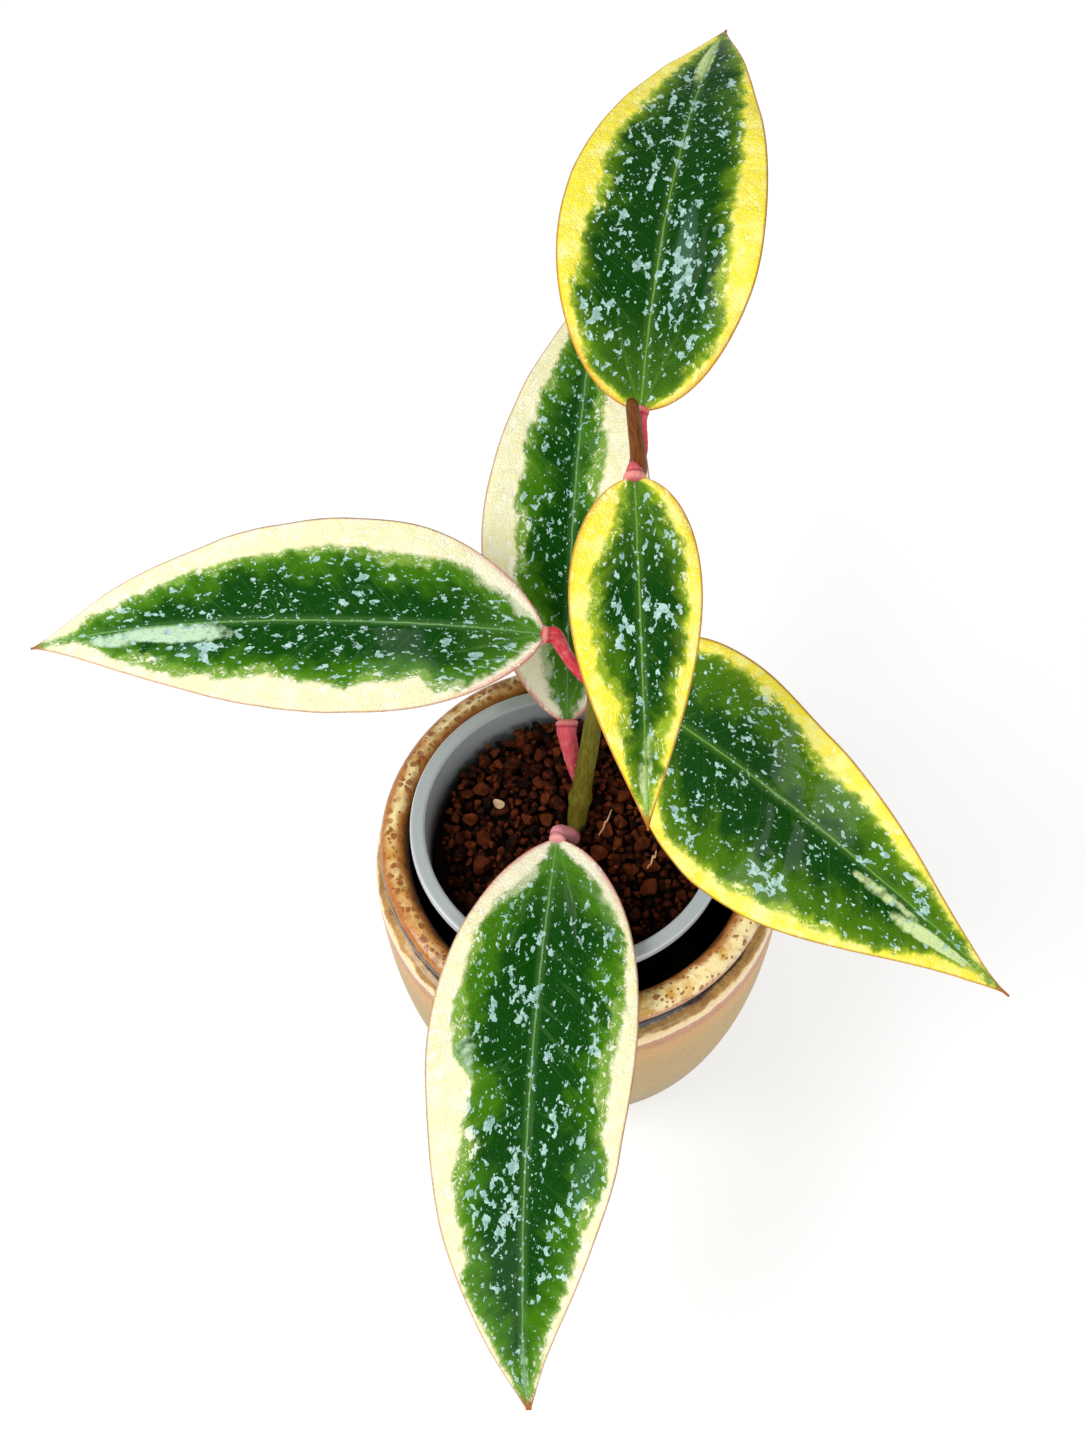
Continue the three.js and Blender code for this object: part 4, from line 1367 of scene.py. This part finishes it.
# %% Where the granules lie
rng = np.random.default_rng(41)
GRAIN_FLOOR = 77.0
GRAIN_TRIES, SPOTS_TRIED = 3000, 9
GRAIN_SIZE, GRAIN_LIMITS = (0.36, 0.42), (0.65, 2.7)
HEAP_LEVEL, UPPER_FROM, BURIED_BELOW = 82, 80.5, 80
INSIDE_BASE, INSIDE_MOUTH, NURSERY_HEIGHT = 30.0, 40.8, 95.5
STEM_ROOM, STALK_ROOM, FIND_ROOM = 3.2, 2.2, 2.6
HEAP_MIDDLE, HEAP_SLOPE, HEAP_FALL = 83.4, 0.27, 3.2
LEAST_GAP, LEFT_GAP = 0.4, 3.0
LEFT_SIDE, LEFT_SPREAD = math.radians(190), math.radians(36)
FRAME_GRAINS = [f"granule_{k:02d}" for k in range(1, 26)]


def wall_reach(height):
    """The nursery pot's inner radius at a height above its base."""
    return INSIDE_BASE + (INSIDE_MOUTH - INSIDE_BASE) * height / NURSERY_HEIGHT


def node_box(node):
    """The middle and the size of one of the frame's parts, in mm."""
    low, high = (np.array(corner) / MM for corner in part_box(node))
    return (low + high) / 2, high - low


def frame_grain(node):
    middle, size = node_box(node)
    return (*stand_up(middle), float(size.mean() / 2))


placed = [frame_grain(node) for node in FRAME_GRAINS]
OPEN_SPOTS = [frame_grain(node)[:2] for node in ("seed_husk", "root_strand_1", "root_strand_2")]
stem_foot = stand_up([(-2.0, 9.6, 80)])[0]
stalk_foot = stand_up([(-1.9, 8.0, 89)])[0]


def heap_height(x, y):
    """How high the heap reaches: up to the back, and down to the wall in front."""
    rim = math.hypot(x, y) / wall_reach(HEAP_LEVEL)
    in_front = min(max((14 - y) / 14, 0), 1)
    return HEAP_MIDDLE + HEAP_SLOPE * max(y - 9, 0) - HEAP_FALL * rim**3 * in_front


def wall_gap(turn):
    """How far the granules stay off the wall, most at the left."""
    off_left = (turn - LEFT_SIDE) / LEFT_SPREAD
    return LEAST_GAP + LEFT_GAP * math.exp(-off_left * off_left)


def resting_height(x, y, radius, balls):
    """How high the middle of a ball comes to rest when it is dropped at x, y."""
    gap = np.hypot(balls[:, 0] - x, balls[:, 1] - y)
    reach = balls[:, 3] + radius
    near = gap < reach * 0.98
    rest = GRAIN_FLOOR + radius
    if near.any():
        rest = max(rest, float((balls[near, 2] + np.sqrt(reach[near] ** 2 - gap[near] ** 2)).max()))
    return rest


def is_free(x, y, radius, height):
    """Whether a ball stays off the stem and the front stalk, and doesn't hide the husk or a strand."""
    def near(spot, room):
        return math.hypot(x - spot[0], y - spot[1]) < room + radius

    if near(stem_foot, STEM_ROOM) or near(stalk_foot, STALK_ROOM):
        return False
    return height < BURIED_BELOW or not any(near(spot, FIND_ROOM) for spot in OPEN_SPOTS)


def drop_grains(tries):
    """Rows of (x, y, z, radius). The sizes vary as crushed stone does: many small, few large."""
    balls = np.array(placed)
    for _ in range(tries):
        radius = float(np.clip(rng.lognormal(*GRAIN_SIZE), *GRAIN_LIMITS))
        best, best_depth = None, radius
        for _ in range(SPOTS_TRIED):
            turn = rng.uniform(0, 2 * np.pi)
            reach = (wall_reach(HEAP_LEVEL) - radius - wall_gap(turn)) * math.sqrt(rng.uniform(0, 1))
            x, y = reach * math.cos(turn), reach * math.sin(turn)
            height = resting_height(x, y, radius, balls)
            depth = heap_height(x, y) - height
            if depth > best_depth and is_free(x, y, radius, height):
                best, best_depth = (x, y, height, radius), depth
        if best:
            balls = np.vstack([balls, best])
    return balls


grains = drop_grains(GRAIN_TRIES)
print(len(grains), "granules, highest at", round(float((grains[:, 2] + grains[:, 3]).max()), 1))

# %% [markdown]
# A granule is a lump with worn facets. Each starts as a fine ball, some random planes shave it
# flat here and there, and a little noise roughens it. All loose granules of a part of the bed make
# one mesh, because a thousand separate objects would be slow.

# %% Granule shapes
# How many planes shave a ball of radius 1, how far out they lie, and how it is stretched
FACETS, FACET_OUT, STRETCHED, PUFFED = 13, (0.46, 0.84), (0.74, 1.2), 1.16


def ball_mesh(level):
    """The points and faces of a round ball of radius 1, from an icosahedron split level times."""
    ball = bmesh.new()
    bmesh.ops.create_icosphere(ball, subdivisions=level, radius=1)
    points = np.array([v.co[:] for v in ball.verts])
    faces = np.array([[v.index for v in f.verts] for f in ball.faces])
    ball.free()
    return points, faces


def shaved_ball(points):
    """A lump with facets: everything beyond some random planes is pressed down onto them."""
    lump = points.copy()
    for _ in range(FACETS):
        away = rng.normal(size=3)
        away /= np.linalg.norm(away)
        over = np.maximum(lump @ away - rng.uniform(*FACET_OUT), 0)
        lump -= over[:, None] * away
    shape = rng.uniform(*STRETCHED, 3)
    lump *= shape / shape.mean() * PUFFED
    turn = np.linalg.qr(rng.normal(size=(3, 3)))[0]
    return lump @ turn.T


def grain_points(ball, spots):
    points, faces = ball
    rows, joined, tone = [], [], []
    for k, (x, y, z, radius) in enumerate(spots):
        rows.append(lean_over(shaved_ball(points) * radius + (x, y, z)))
        joined.append(faces + k * len(points))
        tone.append(np.full(len(points), rng.uniform(0, 1)))
    return np.vstack(rows), np.vstack(joined).tolist(), np.concatenate(tone)


# %% [markdown]
# ## Granule clay
# The granules are red-brown burnt clay, each a little lighter or darker, with a rough pitted skin and
# painted shade in the pits. Every point keeps its granule's own tone.

# %% Granule finish
def build_clay(name, dark, light, shade):
    material, tree, shader = new_finish(name, Specular_IOR_Level=0.12)
    effect = mottled(tree, 420.0, 1.4)
    mottle, grain = effect["Mottle"], effect["Grain"]
    amount = mottle * 0.5 + (stored(tree, "tone") * 0.7 - 0.27)
    # The third colour darkens the pits of the relief: painted shade
    clay = layers(dark, (amount, light), (mask(grain, 0.5, 0.36, 0, 0.7), shade))
    dress(shader, clay, mask(grain, 0.3, 0.7, 0.9, 0.5), grain * 0.5 + mottle, 0.0005)
    return material


GRAIN_CLAY = build_clay("granule_clay", colour(0.003, 0.0004, 0.0001), colour(0.31, 0.062, 0.015),
                        colour(0.008, 0.0015, 0.0005))
# The packed bed's clay is nearly black: painted shade between the granules
SHADED_BED_CLAY = build_clay("shaded_bed_clay", colour(0.008, 0.003, 0.002), colour(0.03, 0.01, 0.005),
                      colour(0.002, 0.001, 0.001))
FINE, MIDDLING, COARSE = ball_mesh(4), ball_mesh(3), ball_mesh(2)


def make_grains(name, ball, spots, nodes=()):
    points, faces, tone = grain_points(ball, spots)
    return make_piece(name, points, faces, GRAIN_CLAY, nodes, {"tone": tone})


for node, spot in zip(FRAME_GRAINS, placed):
    make_grains("lump_" + node[-2:], FINE, [spot], [node])
loose = grains[len(placed):]
is_upper = loose[:, 2] + loose[:, 3] > UPPER_FROM
for k, part in enumerate(np.array_split(loose[is_upper], 4)):
    make_grains(f"loose_granules_{k + 1}", MIDDLING, part)
make_grains("deep_granules", COARSE, loose[~is_upper])

# %% [markdown]
# ## Packed bed
# Below the loose granules the medium is packed. Only dark gaps of it show from above, so it is one
# turned body with a bumpy top, a little lower than the granules that lie in it. Its clay is nearly
# black: painted shade for the gaps between the granules.

# %% Packed bed
BED_PROFILE = [
    (0.05, 1.3), (15, 1.3), (26, 1.3), (29, 2), (30, 3.4), (33.8, 37), (36.8, 63), (38.1, 75.6),
    (37.2, 77.4), (33, 78), (24, 78), (12, 78), (0.05, 78),
]
BED_AROUND = 96
BUMPY_ABOVE, BUMP, SUNK = 76, 0.9, 0.3
bed_profile = smooth_path(BED_PROFILE, 6)
bed_local = turned_points(bed_profile, BED_AROUND)
for point in bed_local:
    if point[2] > BUMPY_ABOVE:
        point[2] += BUMP * noise.noise(Vector(point) * 0.45) - SUNK
make_piece("packed_bed", lean_over(bed_local), skin_faces(len(bed_profile), BED_AROUND), SHADED_BED_CLAY,
           ["substrate_bed"], {"tone": np.full(len(bed_local), 0.4)})

# %% [markdown]
# ## Seed husk and root strands
# Two small finds lie on the granules: a cupped cream husk of 3.6 mm, and two dry tan strands. The husk is
# a shallow shell with a thick rim, bent from a round disc. The strands are thin crooked tubes.

# %% Husk and strands
HUSK_OUTLINE = [
    (0.05, -0.75), (0.5, -0.72), (0.85, -0.45), (1.0, 0.0), (1.0, 0.3), (0.9, 0.36), (0.8, 0.2),
    (0.62, -0.1), (0.35, -0.3), (0.05, -0.36),
]
HUSK_AROUND, STRAND_AROUND = 40, 16
HUSK_TURN = math.radians(-35)
HUSK_HALF_SIZE, HUSK_WARP = (1.8, 1.3, 0.9), 0.3
STRAND_STOPS, STRAND_CURL, STRAND_RADIUS, STRAND_TAPER = 7, 1.6, 0.3, 0.2


def build_dry(name, light, dark):
    material, tree, shader = new_finish(name, Specular_IOR_Level=0.35)
    effect = mottled(tree, 500.0, 1.2)
    mottle, grain = effect["Mottle"], effect["Grain"]
    dress(shader, mix(mottle, light, dark), mask(grain, 0.3, 0.7, 0.45, 0.7), mottle, 0.0003)
    return material


HUSK_SKIN = build_dry("husk_skin", colour(0.72, 0.6, 0.42), colour(0.5, 0.24, 0.1))
STRAND_SKIN = build_dry("strand_skin", colour(0.72, 0.42, 0.22), colour(0.45, 0.2, 0.08))


def make_husk():
    """The cupped shell, pointed at one end and warped like a saddle."""
    half_long, half_wide, half_high = HUSK_HALF_SIZE
    turn = np.arange(HUSK_AROUND) / HUSK_AROUND * 2 * np.pi
    c, s = math.cos(HUSK_TURN), math.sin(HUSK_TURN)
    rows = []
    for reach, lift in smooth_path(HUSK_OUTLINE, 4):
        x = half_long * reach * np.cos(turn)
        y = half_wide * reach * np.sin(turn) * (1 + 0.2 * np.cos(turn))
        z = half_high * lift + HUSK_WARP * reach * np.cos(2 * turn)
        rows.append(np.stack([c * x - s * y, s * x + c * y, z], -1))
    shell = np.vstack(rows) + node_box("seed_husk")[0]
    return make_piece("husk_shell", shell, skin_faces(len(rows), HUSK_AROUND), HUSK_SKIN,
                      ["seed_husk"])


def make_strand(node, seed):
    middle, size = node_box(node)
    stops = []
    for k in range(STRAND_STOPS):
        share = k / (STRAND_STOPS - 1) - 0.5
        curl = noise.noise(Vector((seed, k * 0.9, 0))) * STRAND_CURL
        x, y = middle[0] + share * size[0] * 0.9, middle[1] + share * size[1] * 0.9 + curl
        z = middle[2] + 0.3 * math.sin(k * 1.4 + seed)
        stops.append((x, y, z, STRAND_RADIUS - STRAND_TAPER * abs(share)))
    points, _, rows = rings_along(stops, STRAND_AROUND, 8)
    return make_piece("dry_" + node, points, skin_faces(rows, STRAND_AROUND), STRAND_SKIN, [node])


make_husk()
make_strand("root_strand_1", 2.0)
make_strand("root_strand_2", 7.0)

# %% [markdown]
# ## Floor
# A plain white sweep under the pot. It gives off a little light of its own, so that shadows on it
# stay as faint as on a lit studio table.

# %% Floor
FLOOR_REACH = 3.0


def make_floor():
    mesh = bpy.data.meshes.new("floor")
    corners = [(-1, -1), (1, -1), (1, 1), (-1, 1)]
    mesh.from_pydata([(FLOOR_REACH * x, FLOOR_REACH * y, 0) for x, y in corners], [], [(0, 1, 2, 3)])
    material, tree, shader = new_finish("white_sweep", Roughness=0.9, Specular_IOR_Level=0.1,
                                        Emission_Color=colour(1, 1, 1), Emission_Strength=0.64)
    dust = cloud(object_place(tree), 4.0)
    wire(mix(dust, colour(0.39, 0.39, 0.39), colour(0.41, 0.41, 0.41)), shader["Base Color"])
    mesh.materials.append(material)
    floor = bpy.data.objects.new("floor", mesh)
    bpy.context.collection.objects.link(floor)
    floor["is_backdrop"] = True


make_floor()

# %% [markdown]
# ## Finish
# The box that the visible model fills is printed.

# %% Sizes and finish
seen_box = [list(corner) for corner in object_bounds()]
for label, low, high in zip("xyz", *seen_box):
    print(label, "visual", round(low, 4), "to", round(high, 4))
